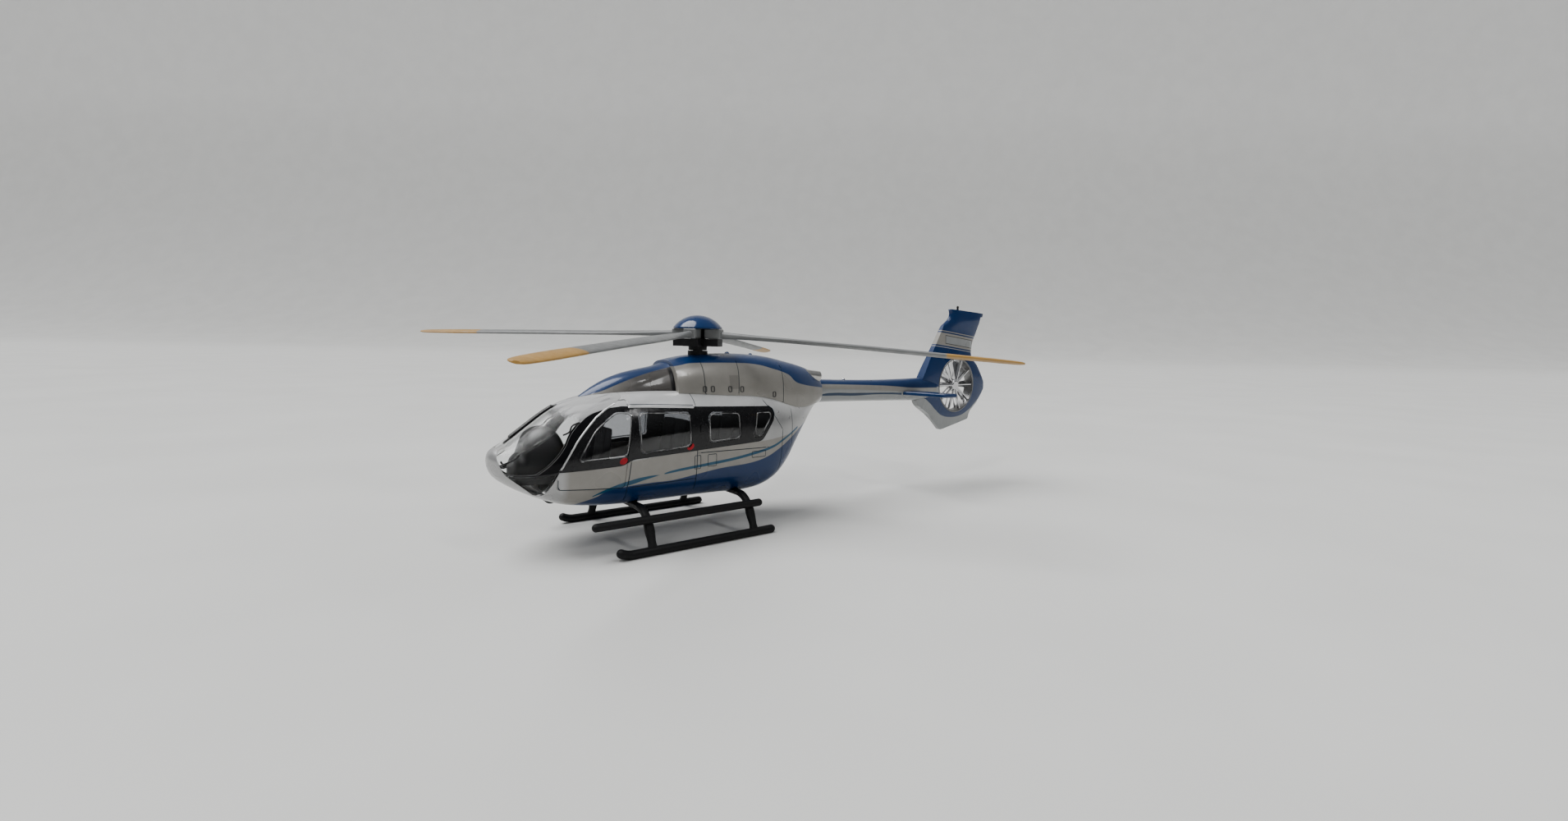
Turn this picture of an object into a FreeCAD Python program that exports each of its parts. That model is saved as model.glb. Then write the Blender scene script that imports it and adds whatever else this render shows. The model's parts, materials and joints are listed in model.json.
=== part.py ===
import FreeCAD, Part
import math
import os

import Sketcher
from FreeCAD import Placement, Rotation, Vector

# A 1:87 die-cast model of a light twin-engined helicopter with a shrouded tail fan, a four-blade
# rotor and skids. Millimetres. Every piece is drawn about the rotor mast: x to the model's left
# (port), y aft of the mast, z up. Each sub-part's Placement then shifts it by mast_station and
# ground_lift, so that the origin lies under the middle of the whole model, where it stands.

DIMENSIONS = [
    # alias, value, what it is
    ("mast_station", -23.3, "y of the rotor mast from the middle of the model's box"),
    ("ground_lift", 0.35, "height of the drawing's zero above the surface that the skids stand on"),
    ("shell_wall", 0.9, "wall of the die-cast shells"),
    ("glass_wall", 0.7, "thickness of the clear mouldings"),
    ("pane_recess", 0.07, "how far a side pane sits below its surround"),
    ("seam", 0.04, "gap between two neighbouring shells or panes"),
    ("groove_width", 0.16, "width of an engraved panel line"),
    ("groove_depth", 0.12, "depth of an engraved panel line"),
    ("skid_half_track", 14.2, "x of a skid tube"),
    ("skid_radius", 0.8, "radius of a skid tube"),
    ("skid_height", 0.42, "z of a skid tube's centre line"),
    ("skid_rear", 9.6, "y of a skid tube's rear end"),
    ("skid_bend_start", -20.6, "y where a skid tube starts to curve up"),
    ("skid_bend_radius", 5.0, "radius of the skid tube's front curve"),
    ("skid_bend_angle", 27, "angle of the skid tube's front curve, degrees"),
    ("step_half_track", 12.8, "x of a boarding step tube"),
    ("step_radius", 0.74, "radius of a boarding step tube"),
    ("step_height", 5.72, "z of a boarding step tube"),
    ("step_front", -27.4, "y of the front end of a boarding step tube"),
    ("step_rear", 7.4, "y of the rear end of a boarding step tube"),
    ("cross_front", -16.9, "y of the front cross tube"),
    ("cross_rear", 4.7, "y of the rear cross tube"),
    ("cross_height", 7.15, "z of a cross tube's centre line"),
    ("cross_half_span", 8.4, "x where a cross tube meets its legs"),
    ("cross_width", 1.4, "a cross tube's size along y"),
    ("cross_depth", 1.2, "a cross tube's size along z"),
    ("plate_half_width", 5.4, "half the width of the belly plate"),
    ("plate_front", -15.7, "y of the belly plate's front edge"),
    ("plate_rear", 3.5, "y of the belly plate's rear edge"),
    ("plate_corner", 1.6, "corner radius of the belly plate"),
    ("screw_head_radius", 1.2, "radius of a belly screw's head"),
    ("screw_shank_radius", 0.6, "radius of a belly screw's shank"),
    ("floor_height", 9.4, "z of the cabin floor's underside"),
    ("floor_thickness", 0.8, "thickness of the cabin floor"),
    ("bulkhead_station", 11.2, "y of the rear bulkhead's front face"),
    ("bulkhead_thickness", 0.8, "thickness of the rear bulkhead"),
    ("cowl_roof", 34.5, "z of the cowling's roof at the mast"),
    ("socket_collar_radius", 2.0, "radius of the mast socket's collar"),
    ("socket_neck_radius", 1.6, "radius of the mast socket's neck in the cowling"),
    ("socket_collar_top", 35.2, "z of the collar's top"),
    ("socket_foot", 29.6, "z of the mast socket's lower end"),
    ("shaft_radius", 0.95, "radius of the rotor shaft in its socket"),
    ("shaft_clearance", 0.05, "radial running clearance of the rotor shaft"),
    ("mast_radius", 1.85, "radius of the thick black mast above the collar"),
    ("hub_bottom", 36.1, "z of the hub plate's underside"),
    ("hub_top", 37.6, "z of the hub plate's top, where the blade roots sit"),
    ("hub_arm_width", 3.2, "width of an arm of the hub plate"),
    ("hub_reach", 4.7, "from the mast's axis to the end of a hub arm"),
    ("post_radius", 1.5, "radius of the post between the blade roots"),
    ("cap_bottom", 39.6, "z of the rim of the rotor cap"),
    ("cap_top", 42.3, "z of the crown of the rotor cap"),
    ("cap_radius", 4.9, "radius of the rotor cap"),
    ("retainer_radius", 1.7, "radius of the clip that keeps the rotor shaft in its socket"),
    ("rotor_radius", 63.1, "from the mast's axis to a blade tip"),
    ("blade_chord", 3.7, "chord of a main rotor blade"),
    ("blade_thickness", 0.9, "greatest thickness of a main rotor blade"),
    ("blade_pitch", 6.5, "degrees that a blade's section leans down towards its leading edge"),
    ("blade_first_azimuth", 40.8, "degrees from the nose towards port to blade 1"),
    ("duct_station", 81.3, "y of the tail fan's axis"),
    ("duct_height", 26.45, "z of the tail fan's axis"),
    ("duct_radius", 7.0, "inner radius of the duct liner"),
    ("liner_wall", 0.5, "wall of the duct liner"),
    ("duct_half_length", 1.45, "half the length of the duct along x"),
    ("fan_radius", 6.7, "radius of the tail fan"),
    ("fan_hub_radius", 1.7, "radius of the tail fan's hub"),
    ("fan_blades", 10, "number of tail fan blades"),
    ("fan_axle_radius", 0.5, "radius of the axle that the tail fan turns on"),
    ("stabiliser_height", 24.9, "z of the stabiliser"),
    ("stabiliser_thickness", 0.9, "thickness of the stabiliser"),
]

# Cross-sections of the cabin: y, bottom, widest height, top, half width, power below, power above.
CABIN_SECTIONS = [
    (-40.6, 15.6, 16.3, 16.8, 0.5, 2.2, 2.2),
    (-40.2, 14.5, 16.2, 17.8, 2.0, 2.2, 2.2),
    (-39.3, 13.2, 16.0, 18.5, 3.6, 2.3, 2.2),
    (-37.7, 12.0, 15.6, 19.4, 5.1, 2.4, 2.2),
    (-35.4, 10.6, 15.3, 21.1, 6.4, 2.5, 2.15),
    (-32.8, 9.3, 15.1, 23.0, 7.6, 2.6, 2.15),
    (-29.3, 8.0, 14.9, 25.2, 8.7, 2.7, 2.2),
    (-25.3, 7.3, 14.9, 26.6, 9.4, 2.8, 2.4),
    (-20.1, 6.9, 14.9, 27.6, 9.8, 2.9, 2.9),
    (-13.8, 6.8, 14.9, 28.0, 9.95, 3.0, 3.4),
    (-4.6, 6.7, 14.9, 28.0, 9.95, 3.0, 3.8),
    (4.6, 6.4, 14.9, 27.8, 9.95, 3.0, 3.7),
    (10.9, 6.6, 15.3, 27.5, 9.8, 3.0, 3.4),
    (14.9, 7.9, 16.3, 26.9, 9.2, 2.9, 3.1),
    (19.0, 11.5, 18.4, 26.0, 7.9, 2.7, 2.8),
    (23.0, 16.3, 21.1, 25.6, 6.1, 2.5, 2.6),
    (27.0, 20.9, 23.6, 26.4, 4.3, 2.3, 2.3),
    (31.0, 23.3, 25.6, 28.0, 2.9, 2.2, 2.2),
]

# Cross-sections of the fairing in front of the mast and of the engine cowling behind it.
FAIRING_SECTIONS = [
    (-25.6, 24.0, 24.6, 26.2, 0.9, 2.2, 2.0),
    (-23.0, 24.0, 24.6, 28.0, 2.4, 2.4, 2.0),
    (-19.2, 24.0, 24.6, 30.0, 3.9, 2.6, 2.1),
    (-12.8, 24.0, 24.6, 31.7, 5.0, 2.8, 2.3),
    (-7.8, 24.0, 24.6, 32.9, 5.5, 3.0, 2.5),
]
COWLING_SECTIONS = [
    (-7.76, 24.0, 24.6, 33.3, 6.5, 3.0, 3.0),
    (-2.3, 24.0, 24.6, 34.3, 7.1, 3.0, 3.0),
    (7.4, 23.6, 24.4, 34.7, 7.4, 3.0, 3.0),
    (16.6, 22.5, 23.8, 34.0, 6.9, 3.0, 2.8),
    (22.0, 22.3, 23.7, 32.9, 6.1, 2.8, 2.7),
    (27.6, 22.8, 24.6, 31.4, 4.6, 2.5, 2.5),
    (30.97, 23.7, 26.0, 29.3, 3.1, 2.2, 2.3),
]
BOOM_SECTIONS = [
    (31.05, 23.5, 26.1, 28.9, 2.65, 2.2, 2.2),
    (40.0, 23.4, 26.0, 28.6, 2.5, 2.2, 2.2),
    (52.0, 23.1, 25.8, 28.4, 2.35, 2.2, 2.2),
    (62.0, 22.8, 25.7, 28.5, 2.1, 2.2, 2.2),
    (68.0, 22.6, 25.6, 28.6, 1.75, 2.2, 2.2),
    (73.0, 22.5, 25.6, 28.6, 1.45, 2.2, 2.2),
]
SECTION_POINTS = 32

# Outlines seen from the side: y, z and the radius of the rounded corner.
GLAZING_OUTLINE = [
    (-35.9, 22.4, 0.0), (-39.9, 17.6, 2.4), (-38.9, 14.6, 3.0), (-33.5, 9.9, 0.9), (-31.1, 14.8, 0.4),
    (-26.6, 22.3, 12.0), (-19.0, 26.9, 0.5), (-18.6, 32.0, 0.0), (-35.9, 32.0, 0.0),
]
SURROUND_OUTLINE = [
    (-32.0, 14.7, 0.0), (-20.4, 15.2, 3.0), (-18.6, 16.1, 3.0), (9.4, 17.4, 1.8), (13.2, 22.2, 2.2),
    (12.3, 24.2, 1.1), (-19.6, 25.4, 3.0), (-26.9, 24.6, 0.0),
]
PANE_OUTLINES = {
    "front_window": [[(-28.5, 16.3, 0.5), (-25.0, 21.7, 7.0), (-21.0, 24.5, 1.8), (-18.1, 24.3, 0.7),
                      (-19.5, 16.7, 0.6)]],
    "sliding_window": [[(-17.2, 16.9, 0.9), (-6.8, 17.5, 0.9), (-6.8, 24.0, 0.9), (-17.2, 24.4, 0.9)]],
    "rear_window": [[(-3.1, 17.9, 0.8), (4.3, 18.2, 0.8), (4.3, 23.5, 0.8), (-3.1, 23.8, 1.4)],
                    [(7.1, 18.2, 0.5), (9.3, 18.3, 0.9), (12.4, 22.2, 0.9), (11.9, 23.3, 0.6),
                     (8.2, 23.4, 0.6)]],
}
DOOR_OUTLINE = [
    (-31.4, 11.7, 0.8), (-20.2, 11.2, 0.5), (-18.4, 26.5, 0.4), (-21.6, 26.2, 4.0), (-27.4, 21.6, 12.0),
    (-31.6, 14.9, 2.0),
]
# Engraved lines seen from the side, as runs of y, z points.
CABIN_LINES = [
    [(-18.9, 15.9), (-19.6, 11.0), (-19.6, 8.2)],
    [(-5.6, 27.4), (-5.5, 24.9)],
    [(-5.6, 17.1), (-5.8, 12.0), (-5.8, 9.0)],
    [(-19.4, 11.1), (-5.8, 11.4)],
    [(10.6, 25.6), (15.2, 19.2), (14.6, 8.6)],
    [(-5.6, 16.2), (11.2, 16.0)],
    [(18.6, 23.3), (18.2, 11.6)],
]
HATCH_OUTLINES = [
    [(-6.2, 13.2, 0.2), (-4.9, 13.2, 0.2), (-4.9, 15.7, 0.2), (-6.2, 15.7, 0.2)],
    [(-3.3, 13.4, 0.2), (-1.4, 13.4, 0.2), (-1.4, 15.7, 0.2), (-3.3, 15.7, 0.2)],
    [(6.9, 14.2, 0.2), (10.3, 14.2, 0.2), (10.3, 15.4, 0.2), (6.9, 15.4, 0.2)],
]
COWLING_LINES = [
    [(-2.3, 33.2), (-2.3, 26.6)],
    [(5.7, 33.4), (5.2, 26.6)],
    [(17.2, 32.4), (16.8, 24.0)],
]
VENT_STATIONS = [(-2.4, 27.9), (-0.7, 27.9), (3.2, 27.8), (6.0, 27.7), (14.3, 26.4)]

FIN_OUTLINE = [
    (67.6, 28.6, 2.0), (71.7, 35.8, 6.0), (78.5, 47.1, 0.4), (92.8, 46.4, 0.2), (92.4, 45.4, 0.2),
    (91.3, 45.3, 0.2), (89.5, 39.4, 4.0), (87.3, 34.4, 2.5), (90.7, 32.0, 1.5), (94.2, 27.2, 1.6),
    (94.4, 25.0, 1.5), (91.5, 21.4, 1.5), (88.5, 18.9, 1.2), (88.0, 16.7, 0.5), (76.1, 14.2, 0.9),
    (70.6, 18.9, 1.5), (64.8, 22.2, 3.0),
]
# Thickness of the fin and shroud: z, middle y, half chord and half thickness of a plan section.
FIN_THICKNESS = [
    (13.6, 81.8, 7.2, 0.75),
    (18.5, 79.6, 10.3, 1.15),
    (22.0, 78.9, 14.8, 1.4),
    (26.5, 79.2, 16.6, 1.45),
    (31.0, 79.4, 13.6, 1.4),
    (36.0, 79.6, 9.2, 1.1),
    (41.5, 82.4, 8.6, 0.9),
    (47.5, 85.6, 8.0, 0.75),
]
STABILISER_PLAN = [(0.0, 58.4, 0.3), (13.4, 62.0, 0.8), (13.7, 66.6, 0.8), (0.0, 65.6, 0.3)]

# Sections of one leg of the skid gear, from the cross tube down to the skid: x, z, degrees from
# upright, size along y and thickness.
LEG_SECTIONS = [
    (8.42, 7.15, 90, 1.4, 1.2),
    (10.2, 6.8, 70, 1.5, 1.2),
    (11.5, 5.9, 46, 1.5, 1.2),
    (12.4, 4.6, 22, 1.8, 1.15),
    (13.45, 2.4, 13, 1.55, 1.1),
    (14.12, 0.8, 8, 2.1, 1.2),
]

# Blade droop at the tip, mm, from blade 1 on, and the stations of a blade: fraction of the radius,
# chord and thickness as fractions of the full ones, and how far the section trails.
BLADE_DROOPS = [4.0, 4.3, 4.35, 0.6]
DROOP_POWER = 1.15
BLADE_STATIONS = [
    (0.080, 0.42, 1.60, 0.00),
    (0.130, 0.40, 1.35, 0.00),
    (0.200, 0.62, 1.15, 0.05),
    (0.300, 0.95, 1.00, 0.15),
    (0.500, 1.00, 1.00, 0.15),
    (0.750, 1.00, 0.95, 0.15),
    (0.920, 1.00, 0.85, 0.20),
    (0.970, 0.86, 0.75, 0.35),
    (0.992, 0.62, 0.60, 0.60),
    (1.000, 0.30, 0.40, 0.85),
]

doc = FreeCAD.newDocument("helicopter_model")
sheet = doc.addObject("Spreadsheet::Sheet", "Dimensions")
for row, (alias, number, meaning) in enumerate(DIMENSIONS, start=1):
    sheet.set(f"A{row}", meaning)
    sheet.set(f"B{row}", str(number))
    sheet.setAlias(f"B{row}", alias)
doc.recompute()

sub_parts = []


def size(alias):
    """A driving dimension, read from the sheet."""
    return float(sheet.get(alias))


def keep(item, label, aft="0", up="0"):
    """Names a finished sub-part and shifts it from the mast's axis to the model's origin."""
    item.Label = label
    item.setExpression(".Placement.Base.y", f"Dimensions.mast_station + {aft}")
    item.setExpression(".Placement.Base.z", f"Dimensions.ground_lift + {up}")
    sub_parts.append(item)
    return item


def keep_shape(label, shape):
    """A sub-part whose lofted or trimmed shape is computed here."""
    item = doc.addObject("Part::Feature", label)
    item.Shape = shape
    return keep(item, label)


def mirrored(shape):
    return shape.mirror(Vector(0, 0, 0), Vector(1, 0, 0))


def primitive(kind, at, **sizes):
    """A Part primitive with its sizes and its place bound to the sheet by expressions."""
    item = doc.addObject("Part::" + kind, kind.lower())
    for name, rule in sizes.items():
        item.setExpression(name, rule)
    for letter, rule in zip("xyz", at):
        item.setExpression(".Placement.Base." + letter, rule)
    return item


def boolean(kind, base, tool):
    item = doc.addObject("Part::" + kind, kind.lower())
    item.Base = base
    item.Tool = tool
    return item


def group(items):
    """One object that holds several separate solids."""
    item = doc.addObject("Part::Compound", "compound")
    item.Links = items
    return item


def plane_of(body, role):
    return [item for item in body.Origin.OriginFeatures if item.Role == role][0]


def outline_sketch(body, role, corners):
    """A closed polygon on one of the body's own planes, each corner bound to sheet expressions."""
    sketch = body.newObject("Sketcher::SketchObject", "outline")
    sketch.AttachmentSupport = [(plane_of(body, role), "")]
    sketch.MapMode = "FlatFace"
    points = [[float(sheet.evalExpression(rule)) for rule in corner] for corner in corners]
    count = len(points)
    for index in range(count):
        start = Vector(*points[index], 0)
        end = Vector(*points[(index + 1) % count], 0)
        sketch.addGeometry(Part.LineSegment(start, end))
    for index in range(count):
        sketch.addConstraint(Sketcher.Constraint("Coincident", index, 2, (index + 1) % count, 1))
    for index, corner in enumerate(corners):
        for kind, rule, place in zip(("DistanceX", "DistanceY"), corner, points[index]):
            number = sketch.addConstraint(Sketcher.Constraint(kind, -1, 1, index, 1, place))
            if "_" in rule:
                sketch.setExpression(f"Constraints[{number}]", rule)
    return sketch


def turned_body(label, corners):
    """A PartDesign body turned about the z axis from a profile of radius and height rules."""
    body = doc.addObject("PartDesign::Body", label)
    sketch = outline_sketch(body, "XZ_Plane", corners)
    turn = body.newObject("PartDesign::Revolution", "turned")
    turn.Profile = sketch
    turn.ReferenceAxis = (sketch, ["V_Axis"])
    turn.Angle = 360
    return body


def rounded_outline(corners, place):
    """A closed wire whose corners, given as a, b and a radius, are rounded with tangent arcs."""
    count = len(corners)
    ends = []
    for index, (a, b, radius) in enumerate(corners):
        corner = Vector(a, b, 0)
        back = (Vector(*corners[index - 1][:2], 0) - corner).normalize()
        ahead = (Vector(*corners[(index + 1) % count][:2], 0) - corner).normalize()
        if radius == 0:
            ends.append((corner, None, corner))
            continue
        half = back.getAngle(ahead) / 2
        run = radius / math.tan(half)
        middle = (back + ahead).normalize()
        crest = corner + middle * (radius / math.sin(half) - radius)
        ends.append((corner + back * run, crest, corner + ahead * run))
    edges = []
    for index, (start, crest, end) in enumerate(ends):
        if crest is not None:
            edges.append(Part.Arc(place(start), place(crest), place(end)).toShape())
        following = ends[(index + 1) % count][0]
        if (following - end).Length > 1e-6:
            edges.append(Part.LineSegment(place(end), place(following)).toShape())
    return Part.Wire(edges)


def side_place(point):
    return Vector(0, point.x, point.y)


def plan_place(point):
    return Vector(point.x, point.y, 0)


SIDE_REACH = 16


def side_prism(corners, grow=0.0, low=-SIDE_REACH, high=SIDE_REACH):
    """The side outline, grown by a margin, as a block from x = low to x = high."""
    wire = rounded_outline(corners, side_place)
    if grow:
        wire = wire.makeOffset2D(grow)
    face = Part.Face(wire)
    face.translate(Vector(low, 0, 0))
    return face.extrude(Vector(high - low, 0, 0))


def side_band(corners, width):
    """A block along the rim of the side outline, for engraving it."""
    return side_prism(corners, width / 2).cut(side_prism(corners, -width / 2))


def side_strip(points, width):
    """A block along an open run of side points."""
    left = []
    right = []
    for index, (a, b) in enumerate(points):
        before = points[max(index - 1, 0)]
        after = points[min(index + 1, len(points) - 1)]
        along = Vector(after[0] - before[0], after[1] - before[1], 0).normalize()
        across = Vector(-along.y, along.x, 0) * (width / 2)
        left.append(side_place(Vector(a, b, 0) + across))
        right.append(side_place(Vector(a, b, 0) - across))
    ring = left + right[::-1]
    face = Part.Face(Part.makePolygon(ring + ring[:1]))
    face.translate(Vector(-SIDE_REACH, 0, 0))
    return face.extrude(Vector(2 * SIDE_REACH, 0, 0))


def section_wire(station, bottom, widest, top, half_width, power_below, power_above):
    """One smooth closed cross-section, widest at its own height."""
    points = []
    for step in range(SECTION_POINTS):
        angle = 2 * math.pi * step / SECTION_POINTS - math.pi / 2
        across = math.cos(angle)
        rise = math.sin(angle)
        above = rise > 0
        power = power_above if above else power_below
        height = top - widest if above else widest - bottom
        reach = (abs(across) ** power + abs(rise) ** power) ** (-1 / power)
        points.append(Vector(half_width * across * reach, station, widest + height * rise * reach))
    curve = Part.BSplineCurve()
    marks = [step / SECTION_POINTS for step in range(SECTION_POINTS + 1)]
    curve.interpolate(Points=points, PeriodicFlag=True, Parameters=marks)
    return Part.Wire([curve.toShape()])


NOSE_LENGTH = 15


def loft(sections, inset=0.0):
    """The solid through the sections, with its surface moved inwards by the inset."""
    first = sections[0][0]
    wires = []
    for station, bottom, widest, top, half_width, power_below, power_above in sections:
        if half_width - inset < 0.3 or top - widest - inset < 0.3 or widest - bottom - inset < 0.3:
            continue
        nose_part = max(0, 1 - (station - first) / NOSE_LENGTH)
        wires.append(section_wire(station + inset * nose_part, bottom + inset, widest, top - inset,
                                  half_width - inset, power_below, power_above))
    return Part.makeLoft(wires, True, False)


# --- Cabin shell, its glazing and its side windows ---------------------------------------------

WALL = size("shell_wall")
GLASS = size("glass_wall")
SEAM = size("seam")
GROOVE = size("groove_width")

cabin_form = loft(CABIN_SECTIONS)
cabin_grown = loft(CABIN_SECTIONS, -SEAM)
cabin_skin = cabin_form.cut(loft(CABIN_SECTIONS, size("groove_depth")))
cabin_hollow = loft(CABIN_SECTIONS[:15], WALL)
clear_skin = cabin_form.cut(loft(CABIN_SECTIONS, GLASS))
pane_skin = loft(CABIN_SECTIONS, size("pane_recess")).cut(loft(CABIN_SECTIONS, GLASS))


def belly_outline(grow=0.0):
    """The belly plate's rounded rectangle, seen from below, as a block up through the belly."""
    half = size("plate_half_width")
    corner = size("plate_corner")
    front = size("plate_front")
    rear = size("plate_rear")
    corners = [(-half, front, corner), (half, front, corner), (half, rear, corner), (-half, rear, corner)]
    wire = rounded_outline(corners, plan_place)
    if grow:
        wire = wire.makeOffset2D(grow)
    return Part.Face(wire).extrude(Vector(0, 0, size("floor_height") - 0.3))


def cross_slots():
    """The slots across the belly that the two cross tubes lie in."""
    width = size("cross_width") + 2 * SEAM
    top = size("cross_height") + size("cross_depth") / 2 + SEAM
    reach = size("cross_half_span") + 0.5
    slots = []
    for station in (size("cross_front"), size("cross_rear")):
        slots.append(Part.makeBox(2 * reach, width, top, Vector(-reach, station - width / 2, 0)))
    return slots


SCREW_STATIONS = (-11.6, -0.6)
BELLY_SKIN = 6.9


def screw_seats():
    """The counterbores and clearance holes for the belly screws."""
    seats = []
    for station in SCREW_STATIONS:
        hole = size("screw_shank_radius") + SEAM
        head = size("screw_head_radius") + SEAM
        seats.append(Part.makeCylinder(hole, 12, Vector(0, station, 0)))
        seats.append(Part.makeCylinder(head, BELLY_SKIN + SEAM, Vector(0, station, 0)))
    return seats


def cabin_engraving():
    """Door rims, panel lines and hatch rims, all to the same depth below the skin."""
    cutters = [side_band(DOOR_OUTLINE, GROOVE)]
    for outline in HATCH_OUTLINES:
        cutters.append(side_band(outline, GROOVE * 0.8))
    for line in CABIN_LINES:
        cutters.append(side_strip(line, GROOVE))
    return [cabin_skin.common(cutter) for cutter in cutters]


glazing_hole = side_prism(GLAZING_OUTLINE, SEAM)
surround_hole = side_prism(SURROUND_OUTLINE, SEAM)
shell = cabin_form.cut(cabin_hollow)
shell = shell.cut([glazing_hole, surround_hole, belly_outline(SEAM)] + cross_slots())
shell = shell.cut(cabin_engraving())
keep_shape("cabin_shell", shell)

plate = cabin_form.cut(cabin_hollow).common(belly_outline())
keep_shape("belly_plate", plate.cut(screw_seats()))


NOSE_TOP = 17


def skin_strip(block, proud, depth):
    """What a block cuts out of the skin between a proud surface and one below it."""
    return loft(CABIN_SECTIONS, -proud).cut(loft(CABIN_SECTIONS, depth)).common(block)


def windshield_strips(spread, proud):
    """The centre post and the two sills between the windshield and the chin windows."""
    half = 0.32 + spread
    post = Part.makeBox(2 * half, 9.0, 10, Vector(-half, -37.7, NOSE_TOP))
    sill = [(-38.2, 14.1), (-36.9, 13.8), (-34.1, 14.1), (-31.2, 14.7)]
    return skin_strip(post.fuse(side_strip(sill, 0.32 + 2 * spread)), proud, 0.3 + spread)


def plan_strip(points, width):
    """A tall block along a run of x, y points seen from above, above the nose's widest line."""
    blocks = []
    for start, end in zip(points, points[1:]):
        along = Vector(end[0] - start[0], end[1] - start[1], 0)
        block = Part.makeBox(along.Length, width, 30, Vector(0, -width / 2, NOSE_TOP))
        turn = math.degrees(math.atan2(along.y, along.x))
        block.rotate(Vector(0, 0, 0), Vector(0, 0, 1), turn)
        block.translate(Vector(start[0], start[1], 0))
        blocks.append(block)
    return blocks[0].fuse(blocks[1:])


WIPER_RUN = [(1.2, -38.2), (2.7, -33.0)]
FRAME_PROUD = 0.05

clear = clear_skin.common(side_prism(GLAZING_OUTLINE))
keep_shape("nose_glazing", clear.cut(windshield_strips(0.02, SEAM)))
keep_shape("windshield_frame", windshield_strips(0.0, FRAME_PROUD))
left_wiper = loft(CABIN_SECTIONS, -0.3).cut(loft(CABIN_SECTIONS, -0.08)).common(plan_strip(WIPER_RUN, 0.22))
keep_shape("windshield_wipers", Part.makeCompound([left_wiper, mirrored(left_wiper)]))

surround = clear_skin.common(side_prism(SURROUND_OUTLINE, 0, 0)).cut(glazing_hole)
for outlines in PANE_OUTLINES.values():
    surround = surround.cut([side_prism(outline, SEAM) for outline in outlines])
surround = surround.cut(cabin_skin.common(side_band(DOOR_OUTLINE, GROOVE)))
keep_shape("window_surround_left", surround)
keep_shape("window_surround_right", mirrored(surround))

for name, outlines in PANE_OUTLINES.items():
    panes = [pane_skin.common(side_prism(outline, 0, 0)) for outline in outlines]
    panes = panes[0] if len(panes) == 1 else Part.makeCompound(panes)
    keep_shape(name + "_left", panes)
    keep_shape(name + "_right", mirrored(panes))

HANDLE_OUTLINE = [(-4.95, 20.0, 0.3), (-4.15, 20.0, 0.3), (-4.15, 21.5, 0.3), (-4.95, 21.5, 0.3)]
handle = loft(CABIN_SECTIONS, -0.16).cut(cabin_form).common(side_prism(HANDLE_OUTLINE, 0, 0))
keep_shape("door_handles", Part.makeCompound([handle, mirrored(handle)]))


# --- Fairing, cowling, exhausts and what sits on the roof --------------------------------------

EXHAUST_PLACE = Vector(2.1, 25.6, 30.2)
EXHAUST_AIM = Vector(0.1, 1, -0.12)
EXHAUST_RADIUS = 1.2
EXHAUST_LENGTH = 4.6
SCREEN_OUTLINE = [(-12.6, 27.9, 0.6), (-8.6, 28.1, 0.3), (-8.6, 31.6, 0.3), (-12.2, 31.0, 0.8)]
VENT_OUTLINE = [(-0.42, -0.55, 0.3), (0.42, -0.55, 0.3), (0.42, 0.65, 0.3), (-0.42, 0.65, 0.3)]
ROOF_STUDS = [(7.0, 34.55, 0.55), (12.9, 34.35, 0.45)]

fairing_form = loft(FAIRING_SECTIONS)
cowling_form = loft(COWLING_SECTIONS)
cowling_skin = cowling_form.cut(loft(COWLING_SECTIONS, size("groove_depth")))

screens = fairing_form.cut(loft(FAIRING_SECTIONS, 0.25)).common(side_prism(SCREEN_OUTLINE))
screen_hole = fairing_form.cut(loft(FAIRING_SECTIONS, 0.29)).common(side_prism(SCREEN_OUTLINE, SEAM))
keep_shape("mast_fairing", fairing_form.cut([cabin_grown, screen_hole]))
keep_shape("intake_screens", screens)


def cowling_room(inset):
    """The space under the cowling, open towards the cabin roof below it."""
    lowered = []
    for station, bottom, widest, top, half_width, power_below, power_above in COWLING_SECTIONS[:-1]:
        lowered.append((station, bottom - 3, widest, top, half_width, power_below, power_above))
    return loft(lowered, inset)


def exhaust_pipe(radius):
    return Part.makeCylinder(radius, EXHAUST_LENGTH, EXHAUST_PLACE, EXHAUST_AIM)


cowling = cowling_form.cut([cowling_room(WALL), cabin_grown])
pipe_hole = exhaust_pipe(EXHAUST_RADIUS + SEAM)
neck_hole = Part.makeCylinder(size("socket_neck_radius") + SEAM, 12, Vector(0, 0, 28))
collar_seat = size("cowl_roof") - 0.4
collar_hole = Part.makeCylinder(size("socket_collar_radius") + SEAM, 4, Vector(0, 0, collar_seat - SEAM))
cowling = cowling.cut([pipe_hole, mirrored(pipe_hole), neck_hole, collar_hole])
cowling = cowling.cut([cowling_skin.common(side_strip(line, GROOVE)) for line in COWLING_LINES])
keep_shape("engine_cowling", cowling)

BORE_DEPTH = 2.4
pipe_bore = Part.makeCylinder(EXHAUST_RADIUS - 0.25, BORE_DEPTH + 1, EXHAUST_PLACE, EXHAUST_AIM)
pipe_bore.translate(EXHAUST_AIM.normalize() * (EXHAUST_LENGTH - BORE_DEPTH))
exhaust = exhaust_pipe(EXHAUST_RADIUS).cut([pipe_bore, cowling_room(WALL - SEAM)])
keep_shape("exhaust_left", exhaust)
keep_shape("exhaust_right", mirrored(exhaust))

vents = []
for station, level in VENT_STATIONS:
    outline = [(station + a, level + b, radius) for a, b, radius in VENT_OUTLINE]
    rim = side_prism(outline).cut(side_prism(outline, -0.16))
    vents.append(loft(COWLING_SECTIONS, -0.12).cut([cowling_form, cabin_grown]).common(rim))
keep_shape("cowling_vents", Part.makeCompound([solid for vent in vents for solid in vent.Solids]))

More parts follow.
